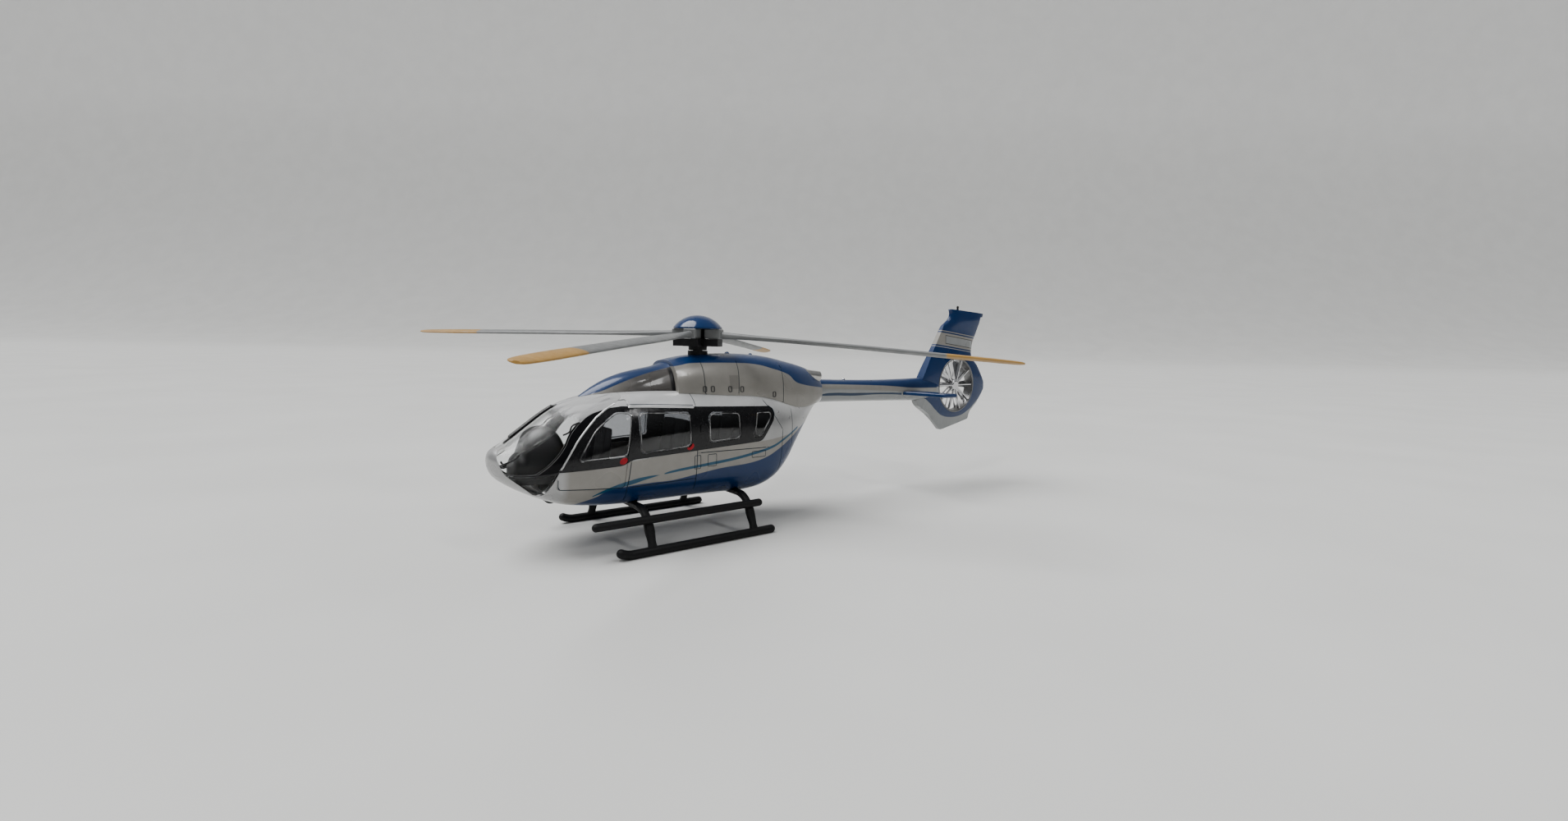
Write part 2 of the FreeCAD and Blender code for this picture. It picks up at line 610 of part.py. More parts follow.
studs = [Part.makeSphere(radius, Vector(0, station, level)) for station, level, radius in ROOF_STUDS]
cowling_grown = loft(COWLING_SECTIONS, -SEAM / 2)
keep_shape("roof_antennas", Part.makeCompound([stud.cut(cowling_grown) for stud in studs]))

WIRE_CUTTER_OUTLINE = [
    (-30.9, 7.75, 0.2), (-29.9, 7.1, 0.5), (-28.9, 7.1, 0.4), (-28.2, 7.6, 0.1),
    (-28.6, 9.3, 0), (-30.5, 9.6, 0),
]
keep_shape("wire_cutter", side_prism(WIRE_CUTTER_OUTLINE, 0, -0.4, 0.4).cut(cabin_grown))


# --- Tail boom, fin, duct and stabiliser -------------------------------------------------------

DUCT_AXIS = Vector(1, 0, 0)
duct_centre = Vector(0, size("duct_station"), size("duct_height"))
boom_form = loft(BOOM_SECTIONS)


def fin_form(grow=0.0):
    """The fin, shroud and ventral fin in one block, thinning towards its edges."""
    wires = []
    for level, middle, half_chord, half_thickness in FIN_THICKNESS:
        section = section_wire(0, -half_chord, 0, half_chord, half_thickness + grow, 2.6, 2.6)
        section.rotate(Vector(0, 0, 0), Vector(1, 0, 0), -90)
        section.translate(Vector(0, middle, level))
        wires.append(section)
    return Part.makeLoft(wires, True, False).common(side_prism(FIN_OUTLINE, grow))


def along_duct(radius, low, high):
    """A cylinder about the tail fan's axis between two x places."""
    return Part.makeCylinder(radius, high - low, duct_centre + Vector(low, 0, 0), DUCT_AXIS)


duct_half = size("duct_half_length")
liner_radius = size("duct_radius") + size("liner_wall")
fin = fin_form().cut([along_duct(liner_radius + SEAM, -6, 6), loft(BOOM_SECTIONS, -SEAM)])
keep_shape("fin_and_shroud", fin)
keep_shape("tail_boom", boom_form)
liner = along_duct(liner_radius, -duct_half, duct_half).cut(along_duct(size("duct_radius"), -6, 6))
lips = [edge for edge in liner.Edges if abs(abs(edge.CenterOfMass.x) - duct_half) < 0.01]
keep_shape("duct_liner", liner.makeFillet(0.2, lips))

BEACON_PLACE = ("0", "82.0", "46.94")
BEACON_DOME_PLACE = ("0", "82.0", "47.75")
beacon_stem = primitive("Cylinder", BEACON_PLACE, Radius="0.3", Height="0.85")
beacon_dome = primitive("Sphere", BEACON_DOME_PLACE, Radius="0.34")
keep(boolean("Fuse", beacon_stem, beacon_dome), "fin_beacon")

BOOM_LIGHT = Vector(0, 40.2, 28.6)
keep_shape("boom_light", Part.makeSphere(0.4, BOOM_LIGHT).cut(loft(BOOM_SECTIONS, -SEAM / 2)))

stabiliser_half = size("stabiliser_thickness") / 2
stabiliser_face = Part.Face(rounded_outline(STABILISER_PLAN, plan_place))
stabiliser = stabiliser_face.extrude(Vector(0, 0, 2 * stabiliser_half))
stabiliser.translate(Vector(0, 0, size("stabiliser_height") - stabiliser_half))
tips = [edge for edge in stabiliser.Edges if edge.Length > 2.5 and edge.BoundBox.XMax > 1]
stabiliser = stabiliser.makeFillet(0.3, tips).cut([loft(BOOM_SECTIONS, -SEAM), fin_form(SEAM)])
keep_shape("stabiliser_left", stabiliser)
keep_shape("stabiliser_right", mirrored(stabiliser))

# The gearbox pod sits in the port half of the duct, with its vanes; the fan turns in the other.
POD_RADIUS = 1.45
POD_START, POD_END = 0.2, 1.2
VANE_COUNT = 10
VANE_START, VANE_END = 0.45, 1.15
VANE_THICKNESS = 0.28
FAIRING_RADIUS = 0.34
AXLE_END = -1.22
pod = along_duct(POD_RADIUS, POD_START, POD_END)
pod_rim = [edge for edge in pod.Edges if abs(edge.CenterOfMass.x - POD_END) < 0.01]
pieces = [pod.makeFillet(0.5, pod_rim), along_duct(size("fan_axle_radius"), AXLE_END, POD_START + 0.5)]
fairing_length = size("duct_radius") - 0.05
shaft_x = (VANE_START + VANE_END) / 2
pieces.append(Part.makeCylinder(FAIRING_RADIUS, fairing_length, duct_centre + Vector(shaft_x, 0, 0),
                                Vector(0, -1, 0)))
for number in range(1, VANE_COUNT):
    vane = Part.makeBox(VANE_END - VANE_START, fairing_length - 1, VANE_THICKNESS,
                        duct_centre + Vector(VANE_START, 1, -VANE_THICKNESS / 2))
    vane.rotate(duct_centre, DUCT_AXIS, 180 + 360 * number / VANE_COUNT)
    pieces.append(vane)
keep_shape("tail_gearbox", pieces[0].fuse(pieces[1:]))

# The fan's pieces lie on the starboard side of the gearbox pod.
FAN_START, FAN_END = -1.15, 0.1
FAN_MIDDLE = (FAN_START + FAN_END) / 2
FAN_CHORD_ROOT, FAN_CHORD_TIP = 1.5, 2.3
FAN_BLADE_THICKNESS = 0.3
FAN_PITCH_ROOT, FAN_PITCH_TIP = 42, 26
fan_hub_radius = size("fan_hub_radius")


def fan_blade():
    """One twisted blade that points up from the fan's axis, about the origin."""
    wires = []
    for share in (0.0, 0.5, 1.0):
        reach = fan_hub_radius * 0.8 + (size("fan_radius") - fan_hub_radius * 0.8) * share
        half_chord = (FAN_CHORD_ROOT + (FAN_CHORD_TIP - FAN_CHORD_ROOT) * share) / 2
        pitch = FAN_PITCH_ROOT + (FAN_PITCH_TIP - FAN_PITCH_ROOT) * share
        half = FAN_BLADE_THICKNESS / 2
        section = section_wire(0, -half, 0, half, half_chord, 2.0, 2.0)
        section.rotate(Vector(0, 0, 0), Vector(1, 0, 0), 90)
        section.rotate(Vector(0, 0, 0), Vector(0, 0, 1), 90 - pitch)
        section.translate(Vector(0, 0, reach))
        wires.append(section)
    return Part.makeLoft(wires, True, False)


hub = along_duct(fan_hub_radius, FAN_START, FAN_END)
hub_rim = [edge for edge in hub.Edges if abs(edge.CenterOfMass.x - FAN_START) < 0.01]
hub = hub.makeFillet(0.4, hub_rim)
fan_bore = along_duct(size("fan_axle_radius") + size("shaft_clearance"), AXLE_END - 0.2, FAN_END + 0.1)
blades = []
for number in range(int(size("fan_blades"))):
    blade = fan_blade()
    blade.rotate(Vector(0, 0, 0), DUCT_AXIS, 360 * number / size("fan_blades") + 18)
    blade.translate(duct_centre + Vector(FAN_MIDDLE, 0, 0))
    blades.append(blade)
keep_shape("tail_fan", hub.fuse(blades).cut(fan_bore))

fan_cap = turned_body("fan_cap", [("0", "0"), ("Dimensions.fan_axle_radius + 0.35", "0"),
                                  ("Dimensions.fan_axle_radius + 0.35", "0.15"),
                                  ("Dimensions.fan_axle_radius", "0.3"), ("0", "0.3")])
fan_cap.Placement = Placement(Vector(AXLE_END - 0.02, 0, 0), Rotation(Vector(0, 1, 0), -90))
keep(fan_cap, "tail_fan_cap", "Dimensions.duct_station", "Dimensions.duct_height")


# --- Rotor mast, hub, blades and cap -----------------------------------------------------------

bore = "Dimensions.shaft_radius + Dimensions.shaft_clearance"
neck = "Dimensions.socket_neck_radius"
collar = "Dimensions.socket_collar_radius"
foot = "Dimensions.socket_foot"
seat = "Dimensions.cowl_roof - 0.4"
top = "Dimensions.socket_collar_top"
keep(turned_body("mast_socket", [(bore, foot), (neck, foot), (neck, seat), (collar, seat),
                                 (collar, top), (bore, top)]), "mast_socket")

shaft = "Dimensions.shaft_radius"
mast = "Dimensions.mast_radius"
shoulder = "Dimensions.socket_collar_top + 0.1"
shaft_end = "Dimensions.socket_foot - 1.2"
hub_bottom = "Dimensions.hub_bottom"
spigot_top = "Dimensions.hub_top - 0.3"
keep(turned_body("rotor_mast", [("0", shaft_end), (shaft, shaft_end), (shaft, shoulder), (mast, shoulder),
                                (mast, hub_bottom), (shaft, hub_bottom), (shaft, spigot_top),
                                ("0", spigot_top)]), "rotor_mast")

clip = "Dimensions.retainer_radius"
clip_low = "Dimensions.socket_foot - 0.9"
clip_high = "Dimensions.socket_foot - 0.1"
keep(turned_body("rotor_retainer", [(shaft, clip_low), (clip, clip_low), (clip, clip_high),
                                    (shaft, clip_high)]), "rotor_retainer")

reach = "Dimensions.hub_reach"
half_arm = "Dimensions.hub_arm_width / 2"
CROSS_TURNS = [(reach, half_arm), (half_arm, half_arm), (half_arm, reach)]


def negated(rule):
    return "-(" + rule + ")"


cross = []
for flip_x, flip_y, order in ((0, 0, 1), (1, 0, -1), (1, 1, 1), (0, 1, -1)):
    for across, up in CROSS_TURNS[::order]:
        cross.append((negated(across) if flip_x else across, negated(up) if flip_y else up))
hub_body = doc.addObject("PartDesign::Body", "rotor_hub")
hub_pad = hub_body.newObject("PartDesign::Pad", "cross_plate")
hub_pad.Profile = outline_sketch(hub_body, "XY_Plane", cross)
hub_pad.setExpression("Length", "Dimensions.hub_top - Dimensions.hub_bottom")
hub_post = hub_body.newObject("PartDesign::AdditiveCylinder", "post")
hub_post.setExpression("Radius", "Dimensions.post_radius")
hub_post.setExpression("Height", "Dimensions.cap_bottom - Dimensions.hub_bottom - Dimensions.seam")
hub_bore = hub_body.newObject("PartDesign::SubtractiveCylinder", "spigot_bore")
hub_bore.setExpression("Radius", "Dimensions.shaft_radius")
hub_bore.setExpression("Height", "Dimensions.hub_top - Dimensions.hub_bottom - 0.3")
hub_body.Tip = hub_bore
hub_turn = size("blade_first_azimuth") - 90
hub_body.Placement = Placement(Vector(0, 0, 0), Rotation(Vector(0, 0, 1), hub_turn))
keep(hub_body, "rotor_hub", up="Dimensions.hub_bottom")

ROOT_BLOCK_WIDTH = 2.5
ROOT_BLOCK_START, ROOT_BLOCK_END = 1.7, 5.1
BLOCK_GAP = 0.03
block_height = size("cap_bottom") - size("hub_top") - 2 * BLOCK_GAP
block_middle = (size("cap_bottom") + size("hub_top")) / 2
for number, droop in enumerate(BLADE_DROOPS):
    wires = []
    for share, chord_share, thickness_share, trail in BLADE_STATIONS:
        half_chord = size("blade_chord") * chord_share / 2
        half = size("blade_thickness") * thickness_share / 2
        level = block_middle - droop * share ** DROOP_POWER
        section = section_wire(-size("rotor_radius") * share, -half, 0, half, half_chord, 2.0, 2.0)
        section.rotate(Vector(0, 0, 0), Vector(0, 1, 0), size("blade_pitch"))
        section.translate(Vector(trail, 0, level))
        wires.append(section)
    block = Part.makeBox(ROOT_BLOCK_WIDTH, ROOT_BLOCK_END - ROOT_BLOCK_START, block_height,
                         Vector(-ROOT_BLOCK_WIDTH / 2, -ROOT_BLOCK_END, size("hub_top") + BLOCK_GAP))
    blade = Part.makeLoft(wires, True, False).fuse(block.makeFillet(0.25, block.Edges))
    post_hole = Part.makeCylinder(size("post_radius") + SEAM, 4, Vector(0, 0, size("hub_top")))
    blade = blade.cut(post_hole)
    blade.rotate(Vector(0, 0, 0), Vector(0, 0, 1), size("blade_first_azimuth") + 90 * number)
    keep_shape(f"rotor_blade_{number + 1}", blade)

rise = "(Dimensions.cap_top - Dimensions.cap_bottom - 0.25)"
crown = f"(Dimensions.cap_radius ^ 2 + {rise} ^ 2) / (2 * {rise})"
cap_ball = primitive("Sphere", ("0", "0", f"Dimensions.cap_top - {crown}"), Radius=crown)
cap_drum = primitive("Cylinder", ("0", "0", "Dimensions.cap_bottom"), Radius="Dimensions.cap_radius",
                     Height="Dimensions.cap_top - Dimensions.cap_bottom")
keep(boolean("Common", cap_ball, cap_drum), "rotor_cap")


# --- Cabin floor, bulkhead, seats and controls -------------------------------------------------

cabin_room = loft(CABIN_SECTIONS[:15], WALL + SEAM)
floor_low = size("floor_height")
floor_high = floor_low + size("floor_thickness")
bulkhead_front = size("bulkhead_station")
floor_box = Part.makeBox(24, bulkhead_front - 0.1 + 31, floor_high - floor_low, Vector(-12, -31, floor_low))
keep_shape("cabin_floor", cabin_room.common(floor_box))
bulkhead_box = Part.makeBox(24, size("bulkhead_thickness"), 24, Vector(-12, bulkhead_front, 6))
keep_shape("rear_bulkhead", cabin_room.common(bulkhead_box))

PANEL_SECTIONS = [
    (-35.5, 12.9, 14.6, 16.6, 3.5, 2.6, 2.4),
    (-33.6, 12.5, 15.0, 19.2, 4.9, 2.8, 2.6),
    (-31.2, 12.3, 15.2, 20.2, 5.4, 3.0, 2.8),
    (-29.4, 12.3, 15.2, 20.3, 5.4, 3.0, 2.8),
]
keep_shape("instrument_panel", loft(PANEL_SECTIONS))

console_low = "Dimensions.floor_height + Dimensions.floor_thickness + 0.03"
console = primitive("Box", ("-0.9", "0", "0"), Length="1.8", Width="7.5", Height="2")
keep(console, "centre_console", "-32", console_low)

SEAT_PROFILE = [("-27", "10.25"), ("-21.6", "10.25"), ("-20.6", "21.2"), ("-21.8", "21.6"),
                ("-23.2", "13.2"), ("-27.4", "12.9")]
SEAT_WIDTH = 4.4
SEAT_PLACES = {"pilot_seat_left": 1.2, "pilot_seat_right": -1.2 - SEAT_WIDTH}
for label, place in SEAT_PLACES.items():
    seat_body = doc.addObject("PartDesign::Body", label)
    seat_pad = seat_body.newObject("PartDesign::Pad", "shape")
    seat_pad.Profile = outline_sketch(seat_body, "YZ_Plane", SEAT_PROFILE)
    seat_pad.Length = SEAT_WIDTH
    seat_body.setExpression(".Placement.Base.x", str(place))
    keep(seat_body, label)

ROW_WIDTH = 4.6
ROW_PITCH = 5.1
ROW_OFFSETS = {"passenger_seats_front": 18.0, "passenger_seats_rear": 29.0}
row_corners = [Vector(0, float(a), float(b)) for a, b in SEAT_PROFILE]
row_seat = Part.Face(Part.makePolygon(row_corners + row_corners[:1])).extrude(Vector(ROW_WIDTH, 0, 0))
for label, offset in ROW_OFFSETS.items():
    row = []
    for place in (-1, 0, 1):
        seat = row_seat.copy()
        seat.translate(Vector(place * ROW_PITCH - ROW_WIDTH / 2, offset, 0))
        row.append(seat)
    keep_shape(label, Part.makeCompound(row))

sticks = []
for place in ("-3.4", "3.4"):
    sticks.append(primitive("Cone", (place, "-28.4", console_low), Radius1="0.35", Radius2="0.2",
                            Height="4"))
keep(group(sticks), "control_sticks")


# --- Skid gear ---------------------------------------------------------------------------------

def tube_section(centre, tilt, width, thickness):
    """A rounded cross-section of the gear's tubing, tilted by degrees from upright."""
    normal = Vector(math.cos(math.radians(tilt)), 0, math.sin(math.radians(tilt)))
    points = []
    for step in range(SECTION_POINTS):
        angle = 2 * math.pi * step / SECTION_POINTS
        reach_out = (abs(math.cos(angle)) ** 3 + abs(math.sin(angle)) ** 3) ** (-1 / 3)
        along = width / 2 * math.cos(angle) * reach_out
        out = thickness / 2 * math.sin(angle) * reach_out
        points.append(centre + Vector(0, along, 0) + normal * out)
    curve = Part.BSplineCurve()
    marks = [step / SECTION_POINTS for step in range(SECTION_POINTS + 1)]
    curve.interpolate(Points=points, PeriodicFlag=True, Parameters=marks)
    return Part.Wire([curve.toShape()])


def leg_form(station, grow=0.0):
    """One port leg of the skid gear, from the cross tube's end to the skid."""
    wires = []
    for across, level, tilt, width, thickness in LEG_SECTIONS:
        centre = Vector(across, station, level)
        wires.append(tube_section(centre, tilt, width + 2 * grow, thickness + 2 * grow))
    return Part.makeLoft(wires, True, False)


def cross_form(station):
    """The level tube across the belly between a pair of legs."""
    section = tube_section(Vector(-size("cross_half_span"), station, size("cross_height")), 90,
                           size("cross_width"), size("cross_depth"))
    return Part.Face(section).extrude(Vector(2 * size("cross_half_span"), 0, 0))


def skid_form(grow=0.0):
    """The port skid tube: straight, then curved up at the front, with round ends."""
    across = size("skid_half_track")
    level = size("skid_height")
    radius = size("skid_radius") + grow
    bend = size("skid_bend_radius")
    turn = math.radians(size("skid_bend_angle"))
    start = Vector(across, size("skid_rear") - size("skid_radius"), level)
    bend_start = Vector(across, size("skid_bend_start"), level)
    middle = bend_start + Vector(0, -bend * math.sin(turn / 2), bend * (1 - math.cos(turn / 2)))
    end = bend_start + Vector(0, -bend * math.sin(turn), bend * (1 - math.cos(turn)))
    path = Part.Wire([Part.LineSegment(start, bend_start).toShape(),
                      Part.Arc(bend_start, middle, end).toShape()])
    ring = Part.Wire([Part.Circle(start, Vector(0, 1, 0), radius).toShape()])
    tube = path.makePipeShell([ring], True, False)
    return tube.fuse([Part.makeSphere(radius, start), Part.makeSphere(radius, end)])


cross_stations = {"front": size("cross_front"), "rear": size("cross_rear")}
leg_blocks = [leg_form(station, 0.02) for station in cross_stations.values()]
ground = Part.makeBox(60, 120, 5, Vector(-30, -60, -5 - size("ground_lift")))
skid = skid_form().cut(ground)
keep_shape("skid_left", skid)
keep_shape("skid_right", mirrored(skid))

step_start = size("step_front") + size("step_radius")
step_length = size("step_rear") - size("step_front") - 2 * size("step_radius")
step_base = Vector(size("step_half_track"), step_start, size("step_height"))
step_tube = Part.makeCylinder(size("step_radius"), step_length, step_base, Vector(0, 1, 0))
step_ends = [Part.makeSphere(size("step_radius"), step_base),
             Part.makeSphere(size("step_radius"), step_base + Vector(0, step_length, 0))]
step_tube = step_tube.fuse(step_ends).cut(leg_blocks)
keep_shape("step_left", step_tube)
keep_shape("step_right", mirrored(step_tube))

for name, station in cross_stations.items():
    leg = leg_form(station).cut([skid_form(0.02), cabin_grown])
    keep_shape(f"legs_{name}", Part.makeCompound([leg, mirrored(leg)]))
    keep_shape(f"cross_tube_{name}", cross_form(station))

screws = []
for station in SCREW_STATIONS:
    head = Part.makeCylinder(size("screw_head_radius"), 0.7, Vector(0, station, BELLY_SKIN - 0.7))
    slot = Part.makeBox(0.3, 3, 0.3, Vector(-0.15, station - 1.5, BELLY_SKIN - 0.75))
    shank = Part.makeCylinder(size("screw_shank_radius"), 2.2, Vector(0, station, BELLY_SKIN - 0.1))
    screws.append(head.cut(slot).fuse(shank))
keep_shape("belly_screws", Part.makeCompound(screws))


# --- Check and write ---------------------------------------------------------------------------

doc.recompute()
faults = [item.Label for item in doc.Objects if "Invalid" in item.State or "Error" in item.State]
for item in sub_parts:
    if item.Shape.isNull() or not item.Shape.isValid() or not item.Shape.Solids:
        faults.append(item.Label)
if faults:
    raise RuntimeError("not built: " + ", ".join(faults))
os.makedirs("parts", exist_ok=True)
for item in sub_parts:
    item.Shape.exportStep(f"parts/{item.Label}.step")
    solids = len(item.Shape.Solids)
    print(f"{item.Label}: {solids} solid(s), {item.Shape.Volume:.2f} mm3")
print(len(sub_parts), "sub-parts")
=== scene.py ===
import json
import math

import bmesh
import bpy
from mathutils import Matrix, Vector, geometry
from mathutils.bvhtree import BVHTree


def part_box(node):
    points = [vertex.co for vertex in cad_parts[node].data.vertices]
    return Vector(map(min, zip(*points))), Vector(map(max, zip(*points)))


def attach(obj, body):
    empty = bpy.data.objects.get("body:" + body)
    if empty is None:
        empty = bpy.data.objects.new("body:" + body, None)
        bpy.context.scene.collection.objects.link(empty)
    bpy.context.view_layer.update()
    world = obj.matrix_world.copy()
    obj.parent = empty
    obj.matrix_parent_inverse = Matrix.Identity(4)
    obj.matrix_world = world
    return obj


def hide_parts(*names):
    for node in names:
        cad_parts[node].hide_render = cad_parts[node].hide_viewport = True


# The looks of a 1:87 die-cast helicopter model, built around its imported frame. Lengths in the tables
# are millimetres: y from the rotor mast's axis towards the tail, z above the surface it stands on.

MM = 0.001

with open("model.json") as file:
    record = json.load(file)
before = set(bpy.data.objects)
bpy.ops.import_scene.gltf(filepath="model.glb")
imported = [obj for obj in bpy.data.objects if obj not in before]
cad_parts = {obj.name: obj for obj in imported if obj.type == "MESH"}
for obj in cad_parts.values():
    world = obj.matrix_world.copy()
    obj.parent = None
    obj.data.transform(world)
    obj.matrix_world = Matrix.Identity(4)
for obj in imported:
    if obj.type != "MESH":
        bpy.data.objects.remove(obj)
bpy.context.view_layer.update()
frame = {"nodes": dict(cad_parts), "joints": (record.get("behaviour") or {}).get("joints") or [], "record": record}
joints = {joint["name"]: Vector(joint["pos_m"]) for joint in frame["joints"]}
mast = joints["main_rotor_spin"]

# Colours, linear.
SILVER = (0.38, 0.38, 0.38)
# The roof's silver: lighter than the rest, a painted highlight.
ROOF_HIGHLIGHT_SILVER = (0.74, 0.74, 0.74)
OFF_WHITE = (0.27, 0.258, 0.235)
TAUPE = (0.075, 0.07, 0.066)
GREY = (0.27, 0.28, 0.28)
BLUE = (0.001, 0.022, 0.090)
DARK_BLUE = (0.002, 0.022, 0.060)
TEAL = (0.002, 0.060, 0.120)
BLACK = (0.005, 0.005, 0.006)
BLADE_GREY = (0.155, 0.16, 0.16)
OCHRE = (0.36, 0.195, 0.035)
RED = (0.42, 0.01, 0.02)

# Livery edges seen from the side: y and z of each point.
BELLY_EDGE = [(-31.0, 4.5), (-28.8, 7.4), (-27.2, 9.1), (-24.8, 10.2), (-23.0, 11.2), (-19.7, 11.7),
              (-14.8, 11.9), (-10.8, 11.9), (-6.6, 12.4), (-0.8, 13.1), (6.9, 13.6), (10.1, 14.2),
              (13.8, 15.6), (18.0, 17.6), (21.8, 19.4), (26.0, 21.4)]
COWL_EDGE = [(-10.0, 32.2), (-6.2, 32.9), (-4.5, 33.2), (-0.3, 33.3), (4.4, 33.3), (9.3, 33.1),
             (14.5, 32.1), (18.9, 30.8), (21.7, 28.9), (31.0, 27.5)]
FAIRING_EDGE = [(-27.0, 26.2), (-24.5, 27.1), (-21.6, 28.0), (-18.7, 29.2), (-15.5, 30.4),
                (-12.1, 31.4), (-9.2, 32.1), (-6.0, 32.9)]
WINDOW_SILL_EDGE = [(-32.0, 15.0), (-18.6, 16.2), (-6.0, 17.2), (13.2, 18.0), (24.0, 20.6)]
BOOM_BLUE_LOW = [(29.0, 28.3), (42.2, 27.8), (53.0, 27.3), (58.3, 26.9), (62.1, 26.6), (74.0, 26.3)]
BOOM_WHITE_LOW = [(29.0, 27.3), (42.0, 26.7), (53.0, 26.0), (58.3, 25.7), (74.0, 25.3)]
SWEEP_EDGE = [(63.0, 24.6), (68.0, 23.6), (70.4, 22.3), (73.3, 20.1), (76.6, 18.4), (79.8, 17.9),
              (82.9, 18.0), (87.1, 19.4), (90.0, 21.2), (95.0, 25.5)]
# Painted streaks: y, z of the middle and half of the width.
UPPER_STREAK = [(-12.6, 13.3, 0.0), (-10.5, 13.6, 0.22), (-3.8, 14.15, 0.28), (2.1, 14.65, 0.28),
                (6.8, 15.3, 0.28), (11.8, 16.2, 0.26), (15.7, 17.6, 0.24), (20.6, 19.6, 0.2)]
FRONT_STREAK = [(-25.5, 10.4, 0.1), (-22.0, 11.7, 0.35), (-19.2, 12.3, 0.42), (-16.4, 12.85, 0.3),
                (-13.4, 13.2, 0.0)]
BOOM_STREAK = [(28.9, 25.2, 0.15), (31.9, 25.75, 0.25), (34.0, 25.8, 0.33), (41.7, 25.55, 0.34),
               (49.2, 25.5, 0.22), (58.5, 25.1, 0.25)]
SHROUD_WEDGE = [(64.2, 25.7, 0.0), (67.8, 26.25, 0.9), (72.4, 25.8, 0.8), (74.5, 25.7, 0.8)]
# The fin's band and the thin line above it: z at the fin's station, slope and half width.
FIN_STATION = 80.0
FIN_BAND = (38.85, -0.105, 1.7)
FIN_LINE = (41.05, -0.105, 0.12)
# The blank plate on the band: half its height, its front and its rear end, and its rim.
PLATE = (1.15, 76.4, 88.4, 0.16)


class Paint:
    """A material's node tree, with short helpers for masks and colours."""

    def __init__(self, name):
        self.material = bpy.data.materials.new(name)
        self.material.use_nodes = True
        self.tree = self.material.node_tree
        self.tree.nodes.clear()
        self.shader = self.node("ShaderNodeBsdfPrincipled")
        output = self.node("ShaderNodeOutputMaterial")
        self.tree.links.new(self.shader.outputs[0], output.inputs[0])
        scaled = self.node("ShaderNodeVectorMath")
        scaled.operation = "MULTIPLY_ADD"
        self.tree.links.new(self.node("ShaderNodeTexCoord").outputs["Object"], scaled.inputs[0])
        scaled.inputs[1].default_value = (1 / MM,) * 3
        scaled.inputs[2].default_value = (0, -mast.y / MM, 0)
        self.spot = scaled.outputs[0]
        split = self.node("ShaderNodeSeparateXYZ")
        self.tree.links.new(self.spot, split.inputs[0])
        self.x, self.y, self.z = split.outputs

    def node(self, kind):
        return self.tree.nodes.new(kind)

    def feed(self, socket, value):
        """Links a socket to another, or sets it to a number or a colour."""
        if isinstance(value, bpy.types.NodeSocket):
            self.tree.links.new(value, socket)
        elif isinstance(value, tuple):
            socket.default_value = (*value, 1.0)
        else:
            socket.default_value = value

    def set(self, **values):
        """Sets the shader's inputs by name, with _ for a space."""
        for name, value in values.items():
            self.feed(self.shader.inputs[name.replace("_", " ")], value)

    def math(self, operation, *values):
        node = self.node("ShaderNodeMath")
        node.operation = operation
        for socket, value in zip(node.inputs, values):
            self.feed(socket, value)
        return node.outputs[0]

    def mix(self, share, first, second):
        """A colour between two, by a share from 0 to 1."""
        node = self.node("ShaderNodeMix")
        node.data_type = "RGBA"
        self.feed(node.inputs["Factor"], share)
        self.feed(node.inputs["A"], first)
        self.feed(node.inputs["B"], second)
        return node.outputs["Result"]

    def noise(self, scale, detail=3.0, stretch=None):
        """Noise about 0.5, its scale in lumps per millimetre."""
        node = self.node("ShaderNodeTexNoise")
        node.inputs["Scale"].default_value = scale
        node.inputs["Detail"].default_value = detail
        source = self.spot
        if stretch:
            scaled = self.node("ShaderNodeVectorMath")
            scaled.operation = "MULTIPLY"
            self.feed(scaled.inputs[0], self.spot)
            scaled.inputs[1].default_value = stretch
            source = scaled.outputs[0]
        self.feed(node.inputs["Vector"], source)
        return node.outputs["Fac"]

    def span(self, value, low, high, start=0.0, end=1.0):
        """The value carried from low..high to start..end, and held at both ends."""
        node = self.node("ShaderNodeMapRange")
        self.feed(node.inputs["Value"], value)
        for name, number in (("From Min", low), ("From Max", high), ("To Min", start), ("To Max", end)):
            node.inputs[name].default_value = number
        return node.outputs[0]

    def follow(self, points):
        """A number that follows y smoothly through the points."""
        first, last = points[0][0], points[-1][0]
        low = min(value for _, value in points)
        high = max(value for _, value in points)
        reach = max(high - low, 1e-3)
        node = self.node("ShaderNodeFloatCurve")
        curve = node.mapping.curves[0]
        for _ in points[2:]:
            curve.points.new(0.5, 0.5)
        for dot, (station, value) in zip(curve.points, points):
            dot.location = ((station - first) / (last - first), (value - low) / reach)
        node.mapping.update()
        self.feed(node.inputs["Value"], self.span(self.y, first, last))
        return self.math("MULTIPLY_ADD", node.outputs[0], reach, low)

    def over(self, level, softness=0.06):
        """1 above the level, 0 below it, with a thin soft edge."""
        gap = self.math("SUBTRACT", self.z, level)
        return self.span(gap, -softness, softness)

    def above(self, points):
        """1 above an edge of the livery, 0 below it."""
        return self.over(self.follow(points))

    def below(self, points):
        return self.math("SUBTRACT", 1.0, self.above(points))

    def streak(self, points):
        """1 inside a painted streak given by its middle and half width."""
        middle = self.follow([(station, level) for station, level, _ in points])
        half = self.follow([(station, width) for station, _, width in points])
        gap = self.math("ABSOLUTE", self.math("SUBTRACT", self.z, middle))
        inside = self.span(self.math("SUBTRACT", half, gap), -0.04, 0.04)
        started = self.math("GREATER_THAN", self.y, points[0][0])
        ended = self.math("LESS_THAN", self.y, points[-1][0])
        return self.math("MULTIPLY", inside, self.math("MULTIPLY", started, ended))

    def between(self, value, low, high, softness=0.05):
        """1 where the value lies between two numbers, 0 elsewhere."""
        rise = self.span(value, low - softness, low + softness)
        fall = self.span(value, high - softness, high + softness, 1.0, 0.0)
        return self.math("MULTIPLY", rise, fall)

